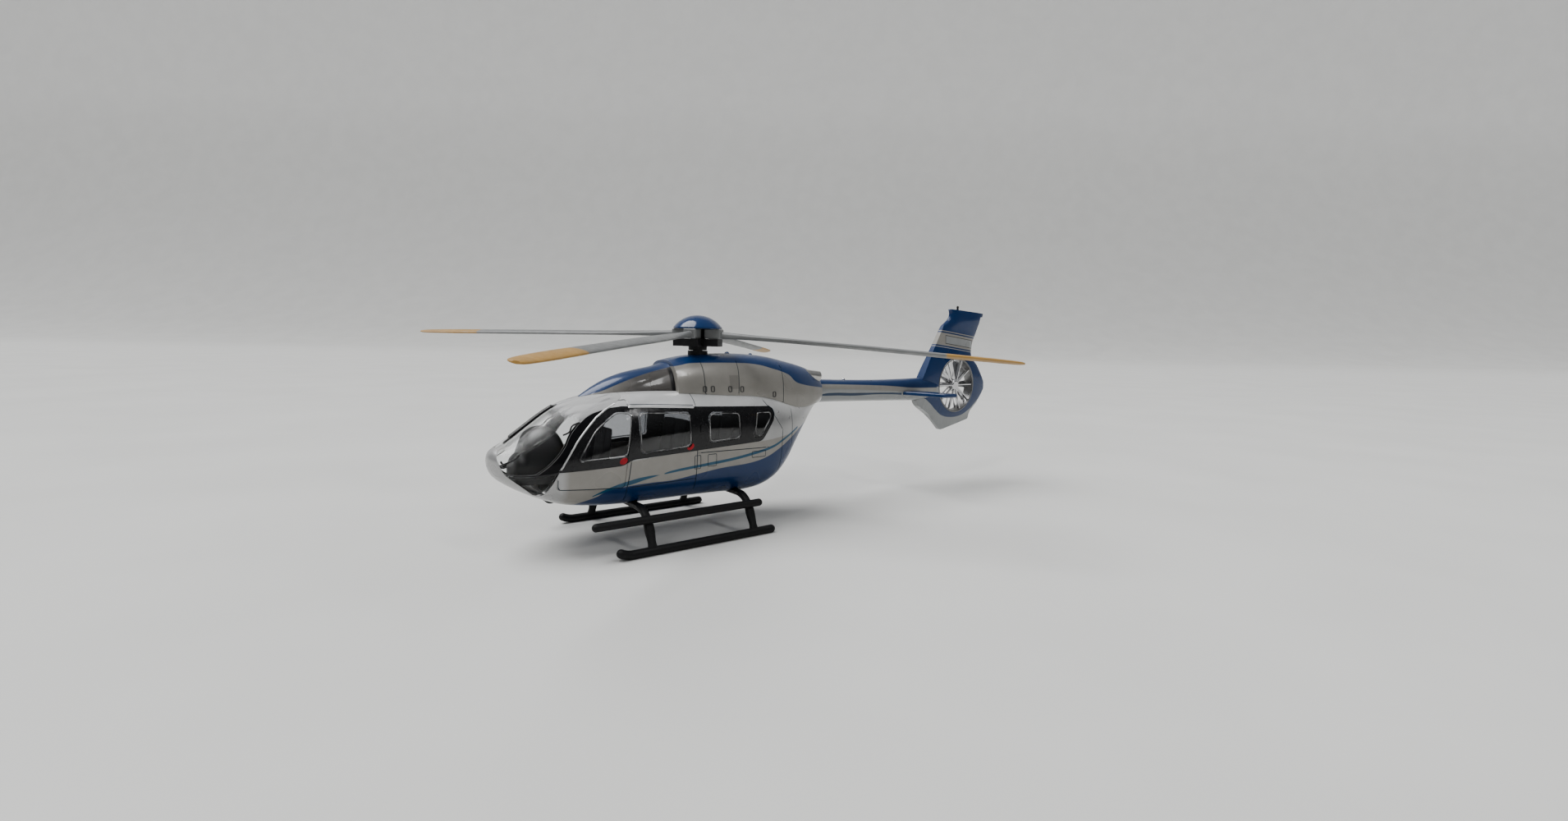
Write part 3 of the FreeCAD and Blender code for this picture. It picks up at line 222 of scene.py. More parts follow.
    def mottled(self, colour, depth, scale=0.5):
        """The colour made lighter and darker in soft patches."""
        dark = self.node("ShaderNodeMix")
        dark.data_type = "RGBA"
        dark.blend_type = "MULTIPLY"
        dark.inputs["Factor"].default_value = 1.0
        self.feed(dark.inputs["A"], colour)
        shade = self.span(self.noise(scale), 0.35, 0.65, 1.0 - depth, 1.0)
        self.feed(dark.inputs["B"], shade)
        return dark.outputs["Result"]

    def bump(self, height, strength, distance=0.02):
        node = self.node("ShaderNodeBump")
        node.inputs["Strength"].default_value = strength
        node.inputs["Distance"].default_value = distance * MM
        self.feed(node.inputs["Height"], height)
        self.feed(self.shader.inputs["Normal"], node.outputs[0])


def lacquer(name, colour_of, shine=0.30):
    """Sprayed paint over a casting, with a thin clear coat and a faint orange peel."""
    paint = Paint(name)
    colour, flake = colour_of(paint)
    paint.set(Base_Color=paint.mottled(colour, 0.07), Metallic=flake)
    paint.set(Roughness=paint.span(paint.noise(0.2, 0.0), 0.3, 0.7, shine - 0.03, shine + 0.05))
    paint.set(Coat_Weight=0.32, Coat_Roughness=0.08, Specular_IOR_Level=0.25)
    paint.bump(paint.noise(1.4, 1.0), 0.05)
    return paint.material


def fairing_livery(paint):
    """Blue above; below it a flank that darkens to grey-brown towards the rear, painted shade under the blue;
    black at the gap before the cowling, a painted shadow.
    """
    # The flank darkens towards the rear: painted shade under the blue.
    flank = paint.mix(paint.span(paint.y, -23.0, -15.0), OFF_WHITE, TAUPE)
    colour = paint.mix(paint.above(FAIRING_EDGE), flank, BLUE)
    # Black at the gap before the cowling: a painted shadow.
    gap = paint.between(paint.y, -8.5, -6.4, 0.15)
    return paint.mix(paint.math("MULTIPLY", gap, paint.below(FAIRING_EDGE)), colour, BLACK), 0.1


def cabin_livery(paint):
    """Silver nose and roof, the roof painted lighter as a highlight; off-white flanks, a blue belly and two
    streaks.
    """
    flank = paint.math("MULTIPLY", paint.below(WINDOW_SILL_EDGE), paint.span(paint.y, -30.6, -29.4))
    # The silver turns lighter upwards: a painted highlight on the roof.
    silver = paint.mix(paint.span(paint.z, 21.5, 25.0), SILVER, ROOF_HIGHLIGHT_SILVER)
    colour = paint.mix(flank, silver, OFF_WHITE)
    colour = paint.mix(paint.streak(UPPER_STREAK), colour, TEAL)
    colour = paint.mix(paint.streak(FRONT_STREAK), colour, TEAL)
    belly = paint.below(BELLY_EDGE)
    flake = paint.span(paint.math("MAXIMUM", belly, flank), 0.0, 1.0, 0.50, 0.10)
    return paint.mix(belly, colour, BLUE), flake


def cowling_livery(paint):
    """Off-white flanks under a blue back, with a darker patch and a smoky rear end."""
    patch = paint.math("MULTIPLY", paint.between(paint.y, 3.2, 5.4), paint.between(paint.z, 28.2, 30.9))
    flank = paint.mix(paint.math("MULTIPLY", patch, 0.3), OFF_WHITE, TAUPE)
    uneven = paint.span(paint.noise(0.25), 0.4, 0.7)
    smoke = paint.math("MULTIPLY", paint.span(paint.y, 16.0, 26.0), uneven)
    flank = paint.mix(paint.math("MULTIPLY", smoke, 0.35), flank, TAUPE)
    back = paint.above(COWL_EDGE)
    return paint.mix(back, flank, BLUE), paint.span(back, 0.0, 1.0, 0.25, 0.0)


def boom_livery(paint):
    """From the top down: blue, white, grey with a dark line in it."""
    colour = paint.mix(paint.above(BOOM_WHITE_LOW), GREY, OFF_WHITE)
    colour = paint.mix(paint.streak(BOOM_STREAK), colour, DARK_BLUE)
    colour = paint.mix(paint.above(BOOM_BLUE_LOW), colour, BLUE)
    return colour, 0.15


def sloped(paint, level, slope):
    """How far a point lies above a sloping line, given by its z at the fin's station."""
    line = paint.math("MULTIPLY_ADD", paint.math("SUBTRACT", paint.y, FIN_STATION), slope, level)
    return paint.math("SUBTRACT", paint.z, line)


def fin_livery(paint):
    """Blue, with a white band that carries a blank plate, and a grey lower fin."""
    level, slope, half = FIN_BAND
    from_band = sloped(paint, level, slope)
    colour = paint.mix(paint.between(from_band, -half, half), BLUE, OFF_WHITE)
    line_level, line_slope, line_half = FIN_LINE
    line = paint.between(sloped(paint, line_level, line_slope), -line_half, line_half, 0.03)
    colour = paint.mix(line, colour, OFF_WHITE)
    lower_line = paint.between(from_band, -half - 0.55, -half - 0.4, 0.03)
    colour = paint.mix(lower_line, colour, SILVER)
    plate_half, plate_front, plate_rear, rim = PLATE
    outer = paint.math("MULTIPLY", paint.between(from_band, -plate_half, plate_half),
                       paint.between(paint.y, plate_front, plate_rear))
    inner = paint.math("MULTIPLY", paint.between(from_band, rim - plate_half, plate_half - rim),
                       paint.between(paint.y, plate_front + rim, plate_rear - rim))
    colour = paint.mix(outer, colour, BLACK)
    colour = paint.mix(inner, colour, GREY)
    colour = paint.mix(paint.streak(SHROUD_WEDGE), colour, GREY)
    return paint.mix(paint.below(SWEEP_EDGE), colour, GREY), 0.05


def plain(colour):
    """A livery of one colour."""
    return lambda paint: (colour, 0.0)


def moulded(name, colour, shine=0.45, grain=6.0, depth=0.12, gloss=0.30):
    """Moulded plastic with a fine grain and slightly uneven gloss."""
    paint = Paint(name)
    paint.set(Base_Color=paint.mottled(colour, depth, 0.8), Specular_IOR_Level=gloss)
    paint.set(Roughness=paint.span(paint.noise(1.7), 0.3, 0.7, shine - 0.07, shine + 0.10))
    paint.bump(paint.noise(grain), 0.25)
    return paint.material


def plated(name, colour, shine):
    """Bright metal plating with faint waves and smears."""
    paint = Paint(name)
    paint.set(Base_Color=paint.mottled(colour, 0.12, 0.6), Metallic=1.0)
    paint.set(Roughness=paint.span(paint.noise(1.1), 0.3, 0.7, shine, shine + 0.10))
    paint.bump(paint.noise(3.0, 1.0), 0.18)
    return paint.material


def blade_reach():
    """How far the blade that lies most nearly along the machine reaches from the mast, in mm."""
    low, high = max((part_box(f"rotor_blade_{number}") for number in range(1, 5)),
                    key=lambda box: (box[1] - box[0]).y)
    ends = [Vector(((low.x + high.x) / 2, station, low.z)) for station in (low.y, high.y)]
    return max((end - mast).xy.length for end in ends) / MM


def blade_plastic():
    """Grey blades with an ochre outer end."""
    paint = Paint("blade_plastic")
    flat = paint.node("ShaderNodeCombineXYZ")
    paint.feed(flat.inputs[0], paint.x)
    paint.feed(flat.inputs[1], paint.y)
    distance = paint.node("ShaderNodeVectorMath")
    distance.operation = "LENGTH"
    paint.feed(distance.inputs[0], flat.outputs[0])
    ochre_start, softness = blade_reach() * 0.936, 0.2
    tip = paint.span(distance.outputs["Value"], ochre_start - softness, ochre_start + softness)
    colour = paint.mix(tip, BLADE_GREY, OCHRE)
    paint.set(Base_Color=paint.mottled(colour, 0.14, 0.35))
    paint.set(Roughness=paint.span(paint.noise(0.9), 0.3, 0.7, 0.38, 0.55))
    paint.bump(paint.noise(5.0), 0.22)
    return paint.material


def clear_plastic(name, tint, index):
    """Clear moulding with faint flow lines."""
    paint = Paint(name)
    paint.set(Roughness=paint.span(paint.noise(0.5), 0.3, 0.8, 0.02, 0.08), IOR=index)
    paint.set(Base_Color=paint.mix(paint.noise(0.4), tint, tuple(c * 0.93 for c in tint)))
    paint.set(Transmission_Weight=1.0)
    paint.bump(paint.noise(0.35, 1.0), 0.15)
    return paint.material


# The black printed pillar in front of the door: its front and rear edge, seen from the side.
PILLAR_FRONT = [(-36.5, 13.2), (-34.2, 14.9), (-32.2, 16.6), (-30.2, 19.0), (-28.7, 21.5),
                (-27.0, 23.2), (-25.3, 24.4), (-23.4, 25.1), (-22.0, 25.4), (-17.0, 26.4)]
PILLAR_REAR = [(-34.0, 11.0), (-31.0, 15.6), (-30.4, 16.3), (-29.0, 18.6), (-27.6, 20.6), (-24.7, 23.7),
               (-22.6, 25.2), (-17.0, 27.0)]
SILL_LINE = [(-39.0, 14.75), (-37.0, 14.6), (-35.0, 14.67), (-32.9, 15.0), (-31.2, 15.3), (-28.0, 16.0)]


def nose_plastic():
    """The clear nose moulding: a black pillar and sill printed on it, and silver on the roof in streaks that are
    painted reflections.
    """
    paint = Paint("clear_plastic")
    pillar = paint.math("MULTIPLY", paint.below(PILLAR_FRONT), paint.above(PILLAR_REAR))
    pillar = paint.math("MULTIPLY", pillar, paint.over(paint.follow(SILL_LINE), 0.1))
    off_sill = paint.math("ABSOLUTE", paint.math("SUBTRACT", paint.z, paint.follow(SILL_LINE)))
    sill = paint.math("MULTIPLY", paint.span(off_sill, 0.10, 0.18, 1.0, 0.0),
                      paint.span(paint.y, -38.2, -37.6))
    printed = paint.math("MAXIMUM", pillar, sill)
    # Silver paint on the roof, broken into streaks along the moulding: the streaks are painted reflections.
    along = paint.noise(0.6, 2.0, stretch=(1.6, 0.22, 0.6))
    roof = paint.math("MULTIPLY", paint.span(paint.math("ADD", paint.y, paint.z), -5.4, -2.4),
                      paint.span(along, 0.38, 0.58, 0.25, 0.85))
    rear = paint.span(paint.y, -22.0, -19.0)
    roof = paint.math("MAXIMUM", roof, paint.math("MULTIPLY", rear, 0.9))
    colour = paint.mix(roof, (0.96, 0.965, 0.97), SILVER)
    paint.set(Base_Color=paint.mix(printed, colour, BLACK), IOR=1.16)
    paint.set(Roughness=paint.span(paint.noise(0.7), 0.3, 0.8, 0.02, 0.10))
    paint.set(Transmission_Weight=paint.math("SUBTRACT", 1.0, paint.math("MAXIMUM", printed, roof)))
    paint.bump(paint.noise(0.5, 1.0, stretch=(0.6, 0.25, 2.0)), 0.35, 0.05)
    return paint.material


def trim_metal():
    """A bead of trim, light grey in patches and near black elsewhere: the patches are painted highlights."""
    paint = Paint("bead_metal")
    # Light grey in patches, near black elsewhere: painted highlights on the bead.
    patchy_highlight = paint.span(paint.noise(0.45, 2.0), 0.42, 0.62)
    paint.set(Base_Color=paint.mix(patchy_highlight, (0.34, 0.34, 0.34), (0.05, 0.05, 0.052)))
    paint.set(Metallic=0.75, Roughness=paint.span(patchy_highlight, 0.0, 1.0, 0.22, 0.45))
    paint.bump(paint.noise(3.0), 0.2)
    return paint.material


materials = {
    "silver_paint": lacquer("silver_paint", cabin_livery),
    "fairing_paint": lacquer("fairing_paint", fairing_livery),
    "cowling_paint": lacquer("cowling_paint", cowling_livery),
    "boom_paint": lacquer("boom_paint", boom_livery),
    "fin_paint": lacquer("fin_paint", fin_livery),
    "blue_paint": lacquer("blue_paint", plain(BLUE), 0.18),
    "black_gloss": moulded("black_gloss", BLACK, 0.20, 3.0, 0.3, 0.35),
    "black_plastic": moulded("black_plastic", (0.0035, 0.0035, 0.004), 0.50, gloss=0.22),
    "blade_plastic": blade_plastic(),
    "chrome_plating": plated("chrome_plating", (0.62, 0.62, 0.63), 0.08),
    "exhaust_paint": plated("exhaust_paint", (0.50, 0.49, 0.47), 0.28),
    "steel": plated("steel", (0.45, 0.45, 0.46), 0.22),
    "interior_plastic": moulded("interior_plastic", (0.022, 0.022, 0.023), 0.55, gloss=0.22),
    "clear_plastic": nose_plastic(),
    "tinted_plastic": clear_plastic("tinted_plastic", (0.86, 0.87, 0.88), 1.30),
    "smoked_plastic": clear_plastic("smoked_plastic", (0.44, 0.45, 0.47), 1.50),
    "vent_grey": moulded("vent_grey", (0.05, 0.05, 0.05), 0.5),
    "red_mark": moulded("red_mark", RED, 0.45, 4.0, 0.35, 0.2),
    "bead_metal": trim_metal(),
    # Bright plated metal: the window rail's own metal, its brightness partly a painted highlight, and on the door
    # edge a painted highlight along the seam.
    "rail_metal_and_edge_highlight": plated("rail_metal_and_edge_highlight", (0.72, 0.72, 0.72), 0.30),
    "liner_paint": plated("liner_paint", (0.20, 0.20, 0.20), 0.26),
    "seat_plastic": moulded("seat_plastic", (0.030, 0.030, 0.033), 0.60, gloss=0.25),
    "line_ink": moulded("line_ink", (0.012, 0.030, 0.045), 0.6, 5.0, 0.4, 0.1),
    "hood_plastic": moulded("hood_plastic", (0.007, 0.007, 0.007), 0.36, 2.0, 0.3, 0.35),
}

slots = {sub["node"]: sub["material_slot"] for sub in frame["record"]["subparts"]}
# Nodes of the frame whose look differs from the one their slot names.
SPECIAL = {
    "tail_boom": "boom_paint",
    "fin_and_shroud": "fin_paint",
    "mast_fairing": "fairing_paint",
    "intake_screens": "fairing_paint",
    "duct_liner": "liner_paint",
    "cowling_vents": "vent_grey",
    "sliding_window_left": "smoked_plastic",
    "sliding_window_right": "smoked_plastic",
    "rear_window_left": "smoked_plastic",
    "rear_window_right": "smoked_plastic",
}
for node, item in frame["nodes"].items():
    item.data.materials.clear()
    item.data.materials.append(materials[SPECIAL.get(node, slots[node])])


# --- Pieces added on the frame ------------------------------------------------------------------


def place(across, station, level):
    """A point from millimetres: x, y from the mast, z above the ground."""
    return Vector((across * MM, mast.y + station * MM, level * MM))


def skin_of(*names):
    """Trees of the surfaces of CAD nodes at rest, to put details on."""
    graph = bpy.context.evaluated_depsgraph_get()
    return [BVHTree.FromObject(frame["nodes"][name], graph) for name in names]


def from_side(skins, station, level, side, lift):
    """The outermost surface point at y and z on one side, lifted off it."""
    start = place(side * 30, station, level)
    best = None
    for skin in skins:
        spot, normal, _, reach = skin.ray_cast(start, Vector((-side, 0, 0)))
        if spot is not None and (best is None or reach < best[2]):
            best = spot, normal, reach
    if best is None:
        return from_near(skins, place(side * 9.5, station, level), lift)
    normal = best[1] if best[1].x * side > 0 else -best[1]
    return best[0] + normal * lift * MM


def from_near(skins, point, lift):
    """The nearest surface point, lifted away from the middle of the cabin."""
    found = min((skin.find_nearest(point) for skin in skins), key=lambda hit: hit[3])
    middle = place(0, -24, 15)
    normal = found[1] if found[1].dot(found[0] - middle) > 0 else -found[1]
    return found[0] + normal * lift * MM


def eased(points, parts):
    """Points along a smooth line through the given ones, a Catmull-Rom spline."""
    ends = [points[0]] + list(points) + [points[-1]]
    line = []
    for before, start, end, after in zip(ends, ends[1:], ends[2:], ends[3:]):
        for part in range(parts):
            t = part / parts
            line.append(start * (2 - 5 * t * t + 3 * t ** 3) / 2 + before * (2 * t * t - t - t ** 3) / 2
                        + end * (t + 4 * t * t - 3 * t ** 3) / 2 + after * (t ** 3 - t * t) / 2)
    line.append(points[-1])
    return line


def add(mesh, name, material, body="airframe", stands_for=()):
    """A mesh as a named piece of the object, riding on a body of the frame."""
    mesh.name = name
    mesh.materials.clear()
    mesh.materials.append(materials[material])
    mesh.shade_smooth()
    item = bpy.data.objects.new(name, mesh)
    bpy.context.scene.collection.objects.link(item)
    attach(item, body)
    if stands_for:
        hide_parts(*stands_for)
    return item


def wires(paths, radius):
    """A mesh of round wires along paths of points. A path that ends where it starts is closed."""
    curve = bpy.data.curves.new("wire", "CURVE")
    curve.dimensions = "3D"
    curve.bevel_depth = radius * MM
    curve.bevel_resolution = 2
    curve.use_fill_caps = True
    for path in paths:
        closed = (path[0] - path[-1]).length < 1e-7
        spots = path[:-1] if closed else path
        spline = curve.splines.new("POLY")
        spline.points.add(len(spots) - 1)
        for dot, spot in zip(spline.points, spots):
            dot.co = (*spot, 1.0)
        spline.use_cyclic_u = closed
    holder = bpy.data.objects.new("wire", curve)
    bpy.context.scene.collection.objects.link(holder)
    graph = bpy.context.evaluated_depsgraph_get()
    mesh = bpy.data.meshes.new_from_object(holder.evaluated_get(graph))
    bpy.data.objects.remove(holder)
    bpy.data.curves.remove(curve)
    return mesh


def near_path(skins, points, side, lift, parts=6):
    """A path on the nearest surface through x, y and z places."""
    line = eased([place(side * x, y, z) for x, y, z in points], parts)
    return [from_near(skins, spot, lift) for spot in line]


def bulge(turn, square):
    """How far a rounded square reaches at an angle: 2 gives a circle, more gives squarer corners."""
    return (abs(math.cos(turn)) ** square + abs(math.sin(turn)) ** square) ** (-1 / square)


def strips(rows, width):
    """Faces between neighbouring rows of corners, each row with this many corners."""
    starts = [row * width + column for row in range(rows - 1) for column in range(width - 1)]
    return [(a, a + 1, a + width + 1, a + width) for a in starts]


def rings_joined(rings, around):
    """Faces between neighbouring closed rings of corners."""
    pairs = [(ring * around + step, ring * around + (step + 1) % around)
             for ring in range(rings - 1) for step in range(around)]
    return [(a, b, b + around, a + around) for a, b in pairs]


def badge(skins, middle, half_width, half_height, lean, side, height, square=2.0):
    """A low rounded button on the body's side, flat on it and domed in the middle."""
    rings, around = 5, 28
    verts = []
    for ring in range(rings):
        share = 1 - ring / rings
        rise = height * math.sqrt(max(0.0, 1 - share ** 4)) - 0.02
        for step in range(around):
            turn = 2 * math.pi * step / around
            reach = bulge(turn, square)
            up = half_height * share * reach * math.sin(turn)
            along = half_width * share * reach * math.cos(turn) + lean * up
            verts.append(from_side(skins, middle[0] + along, middle[1] + up, side, rise))
    verts.append(from_side(skins, *middle, side, height))
    last = (rings - 1) * around
    centre = [(last + step, last + (step + 1) % around, rings * around) for step in range(around)]
    return verts, rings_joined(rings, around) + centre


def merged(parts):
    """One mesh from several lists of corners and faces."""
    verts, faces = [], []
    for points, sides in parts:
        faces += [tuple(corner + len(verts) for corner in face) for face in sides]
        verts += points
    mesh = bpy.data.meshes.new("part")
    mesh.from_pydata(verts, [], faces)
    return mesh


def pane_outlines(name, inset):
    """For each pane in a node: its outline in y and z, set inwards and rounded."""
    form = bmesh.new()
    form.from_mesh(frame["nodes"][name].data)
    bmesh.ops.remove_doubles(form, verts=form.verts, dist=1e-6)
    seen = set()
    outlines = []
    for seed in form.verts:
        if seed in seen:
            continue
        seen.add(seed)
        stack, island = [seed], []
        while stack:
            corner = stack.pop()
            island.append(Vector((corner.co.y, corner.co.z)))
            for edge in corner.link_edges:
                other = edge.other_vert(corner)
                if other not in seen:
                    seen.add(other)
                    stack.append(other)
        hull = [island[i] for i in geometry.convex_hull_2d(island)]
        outlines.append(rounded(hull, inset * MM))
    form.free()
    return outlines


def rounded(hull, inset):
    """A convex outline at even steps, moved inwards, with its corners eased."""
    count, smoothings = 120, 5
    sides = [(a, b, (b - a).length) for a, b in zip(hull, hull[1:] + hull[:1])]
    total = sum(length for _, _, length in sides)
    spots = []
    for step in range(count):
        rest = total * step / count
        for start, end, length in sides:
            if rest <= length:
                break
            rest -= length
        spots.append(start.lerp(end, min(1.0, rest / length)))
    middle = sum(spots, Vector((0, 0))) / count
    moved = []
    for i, spot in enumerate(spots):
        along = spots[(i + 3) % count] - spots[i - 3]
        normal = Vector((-along.y, along.x)).normalized()
        if normal.dot(middle - spot) < 0:
            normal = -normal
        moved.append(spot + normal * inset)
    for _ in range(smoothings):
        moved = [(moved[i - 1] + moved[i] + moved[(i + 1) % count]) / 3 for i in range(count)]
    return moved


def window_beads():
    """The thin bright bead that stands on each window pane, inside its edge."""
    insets = {"front_window": 0.2, "sliding_window": 0.22, "rear_window": 0.3}
    for side, word in ((1, "left"), (-1, "right")):
        paths = []
        for pane, inset in insets.items():
            skins = skin_of(f"{pane}_{word}")
            for outline in pane_outlines(f"{pane}_{word}", inset):
                path = [from_side(skins, (spot.x - mast.y) / MM, spot.y / MM, side, 0.0)
                        for spot in outline]
                paths.append(path + path[:1])
        add(wires(paths, 0.11), f"window_beads_{word}", "bead_metal")


# Lines and small parts on the body's side, y and z of each point, unless x comes first.
DOOR_EDGE = [(8.40, -30.9, 15.6), (8.37, -30.38, 16.27), (8.44, -28.96, 18.65),
             (8.2, -27.58, 20.65), (7.52, -24.72, 23.64), (7.33, -23.88, 24.3),
             (6.99, -22.4, 25.3), (6.6, -20.6, 26.0)]
RAIL = [(7.71, -18.55, 25.57), (8.49, -12.81, 25.43), (8.88, -6.03, 25.10)]
RAIL_LINE = [(7.30, -18.7, 25.95), (8.20, -12.74, 25.86), (8.66, -5.97, 25.52)]
CABIN_SEAMS = [
    [(-18.9, 16.25), (-19.6, 11.35), (-19.6, 8.55)], [(-5.6, 27.75), (-5.5, 25.25)],
    [(-5.6, 17.45), (-5.8, 12.35), (-5.8, 9.35)], [(-19.4, 11.45), (-5.8, 11.75)],
    [(-31.3, 13.9), (-31.25, 12.6), (-31.0, 12.15), (-30.5, 12.02), (-20.4, 11.57)],
    [(10.6, 25.95), (15.2, 19.55), (14.6, 8.95)], [(-5.6, 16.55), (11.2, 16.35)],
    [(18.6, 23.65), (18.2, 11.95)],
    [(-6.2, 13.55), (-4.9, 13.55), (-4.9, 16.05), (-6.2, 16.05), (-6.2, 13.55)],
    [(-3.3, 13.75), (-1.4, 13.75), (-1.4, 16.05), (-3.3, 16.05), (-3.3, 13.75)],
    [(6.9, 14.55), (10.3, 14.55), (10.3, 15.75), (6.9, 15.75), (6.9, 14.55)],
]
COWLING_SEAMS = [
    [(-2.3, 33.5), (-2.3, 26.95)], [(5.7, 33.7), (5.2, 26.95)], [(17.2, 32.7), (16.8, 24.35)],
]
WIPERS = [
    [(3.67, -39.15, 17.07), (4.15, -38.79, 16.67), (5.0, -37.35, 17.46), (5.11, -36.62, 18.11)],
    [(7.08, -30.04, 21.22), (7.22, -29.01, 21.7), (6.86, -28.33, 22.69), (7.0, -27.11, 23.17)],
]
LATCHES = [(-20.32, 16.35), (-7.1, 17.87)]
KEYHOLE = (-4.56, 21.43)
STUDS = [(14.1, 23.2), (17.6, 21.9)]


def straight_path(skins, points, side):
    """A run of straight lines along the seams engraved in the body's side."""
    path = []
    for start, end in zip(points, points[1:]):
        for step in range(1, 20):
            spot = Vector(start).lerp(Vector(end), step / 20)
            path.append(from_side(skins, spot.x, spot.y, side, 0.06))
    return path


def side_details():
    """A painted highlight along the door edge, then the rail, panel lines, latches, keyhole and studs on both
    sides.
    """
    cabin = skin_of("cabin_shell")
    cowling = skin_of("engine_cowling")
    for side, word in ((1, "left"), (-1, "right")):
        bay = skin_of("cabin_shell", f"window_surround_{word}", "nose_glazing")
        edge = near_path(bay, DOOR_EDGE, side, 0.03)
        rail = near_path(bay, RAIL, side, 0.04, 10)
        # The bright wire on the door edge is a painted highlight along the seam; the rail is a real part, lit
        # bright.
        add(wires([edge], 0.16), f"door_edge_highlight_{word}", "rail_metal_and_edge_highlight")
        add(wires([rail], 0.20), f"window_rail_{word}", "rail_metal_and_edge_highlight")
        lines = [straight_path(cabin, line, side) for line in CABIN_SEAMS]
        lines += [straight_path(cowling, line, side) for line in COWLING_SEAMS]
        lines.append(near_path(bay, RAIL_LINE, side, 0.0, 10))
        add(wires(lines, 0.065), f"seam_ink_{word}", "line_ink")
        marks = [badge(bay, spot, 0.74, 0.62, 0.35, side, 0.18) for spot in LATCHES]
        add(merged(marks), f"latch_marks_{word}", "red_mark")
        lock = [badge(bay, KEYHOLE, 0.26, 0.42, 0.0, side, 0.12, 5.0)]
        add(merged(lock), f"door_lock_{word}", "bead_metal")
        studs = [badge(cabin, spot, 0.34, 0.28, 0.3, side, 0.22) for spot in STUDS]
        add(merged(studs), f"flank_studs_{word}", "bead_metal")


def wipers():
    """Two bent wires on the windshield."""
    glass = skin_of("nose_glazing")
    paths = [near_path(glass, points, side, 0.14, 8) for side in (1, -1) for points in WIPERS]
    add(wires(paths, 0.16), "wiper_arms", "black_gloss",
        stands_for=["windshield_wipers"])


def from_above(skins, across, station, lift, up=1):
    """The surface point seen from above at x and y, or from below, lifted off it."""
    hits = [skin.ray_cast(place(across, station, 25 + 30 * up), Vector((0, 0, -up))) for skin in skins]
    spot, normal, _, _ = min((hit for hit in hits if hit[0]), key=lambda hit: hit[3])
    return spot + normal * (lift * MM if normal.z * up > 0 else -lift * MM)


def ridge(skins, stations, half, height, square, up=1):
    """A low rounded strip along the middle of the body, as corners and faces."""
    steps, section = 40, 12
    verts = []
    for step in range(steps + 1):
        share = step / steps
        ends = max(0.0, 1 - abs(2 * share - 1) ** square) ** (1 / square)
        for corner in range(section + 1):
            across = -math.cos(math.pi * corner / section)
            rise = height * max(0.0, 1 - abs(across) ** 4) ** 0.25 * ends
            station = stations[0] + (stations[1] - stations[0]) * share
            verts.append(from_above(skins, half * across, station, rise - 0.03, up))
    return verts, strips(steps + 1, section + 1)


def middle_details():
    """The black post down the windshield, and the small black blade under the nose."""
    post = ridge(skin_of("nose_glazing"), (-36.9, -29.2), 0.62, 0.42, 12.0)
    add(merged([post]), "windshield_post", "black_gloss")
    blade = ridge(skin_of("cabin_shell", "belly_plate"), (-31.1, -29.3), 0.35, 0.55, 2.0, up=-1)
    add(merged([blade]), "belly_blade", "black_plastic", stands_for=["wire_cutter"])


# The glare shield: y, its top, half its width and how square it is; the rear lobe stands higher.
HOOD = [(-36.9, 14.0, 2.6, 3.0), (-36.6, 16.6, 3.4, 3.4), (-35.9, 17.4, 4.0, 3.6),
        (-35.2, 17.8, 4.4, 3.4), (-34.9, 20.0, 4.6, 2.6), (-34.2, 21.3, 4.9, 2.5),
        (-33.0, 22.0, 5.3, 2.5), (-31.6, 22.4, 5.6, 2.6), (-30.3, 22.1, 5.8, 2.7),
        (-29.3, 21.2, 5.9, 2.8), (-28.8, 20.0, 5.9, 3.0), (-28.7, 18.2, 5.8, 3.2)]
HOOD_FOOT = 12.9


def glare_shield():
    """The black two-step hood over the instruments."""
    around = 36
    verts = []
    for station, top, half, square in HOOD:
        for step in range(around + 1):
            turn = math.pi * step / around
            reach = bulge(turn, square)
            notch = 1 - 0.05 * math.exp(-((turn - math.pi / 2) / 0.22) ** 2)
            verts.append(place(half * reach * math.cos(turn), station,
                               HOOD_FOOT + (top - HOOD_FOOT) * reach * math.sin(turn) * notch))
    width = around + 1
    last = (len(HOOD) - 1) * width
    front_end, rear_end = tuple(range(around, -1, -1)), tuple(range(last, last + width))
    faces = strips(len(HOOD), width) + [front_end, rear_end]
    hood = add(merged([(verts, faces)]), "glare_shield", "hood_plastic",
               stands_for=["instrument_panel"])
    hood.modifiers.new("rounding", "SUBSURF").render_levels = 2


SEATS = ("pilot_seat_left", "pilot_seat_right", "passenger_seats_front", "passenger_seats_rear")


def soften_seats():
    """Moulded seats: the frame's plain seats with their edges rounded."""
    for name in SEATS:
        seat = frame["nodes"][name]
        seat.data.materials.clear()
        seat.data.materials.append(materials["seat_plastic"])
        shell = seat.modifiers.new("shell", "REMESH")
        shell.mode = "VOXEL"
        shell.voxel_size = 0.16 * MM
        shell.use_smooth_shade = True
        ease = seat.modifiers.new("ease", "SMOOTH")
        ease.factor = 0.6
        ease.iterations = 8


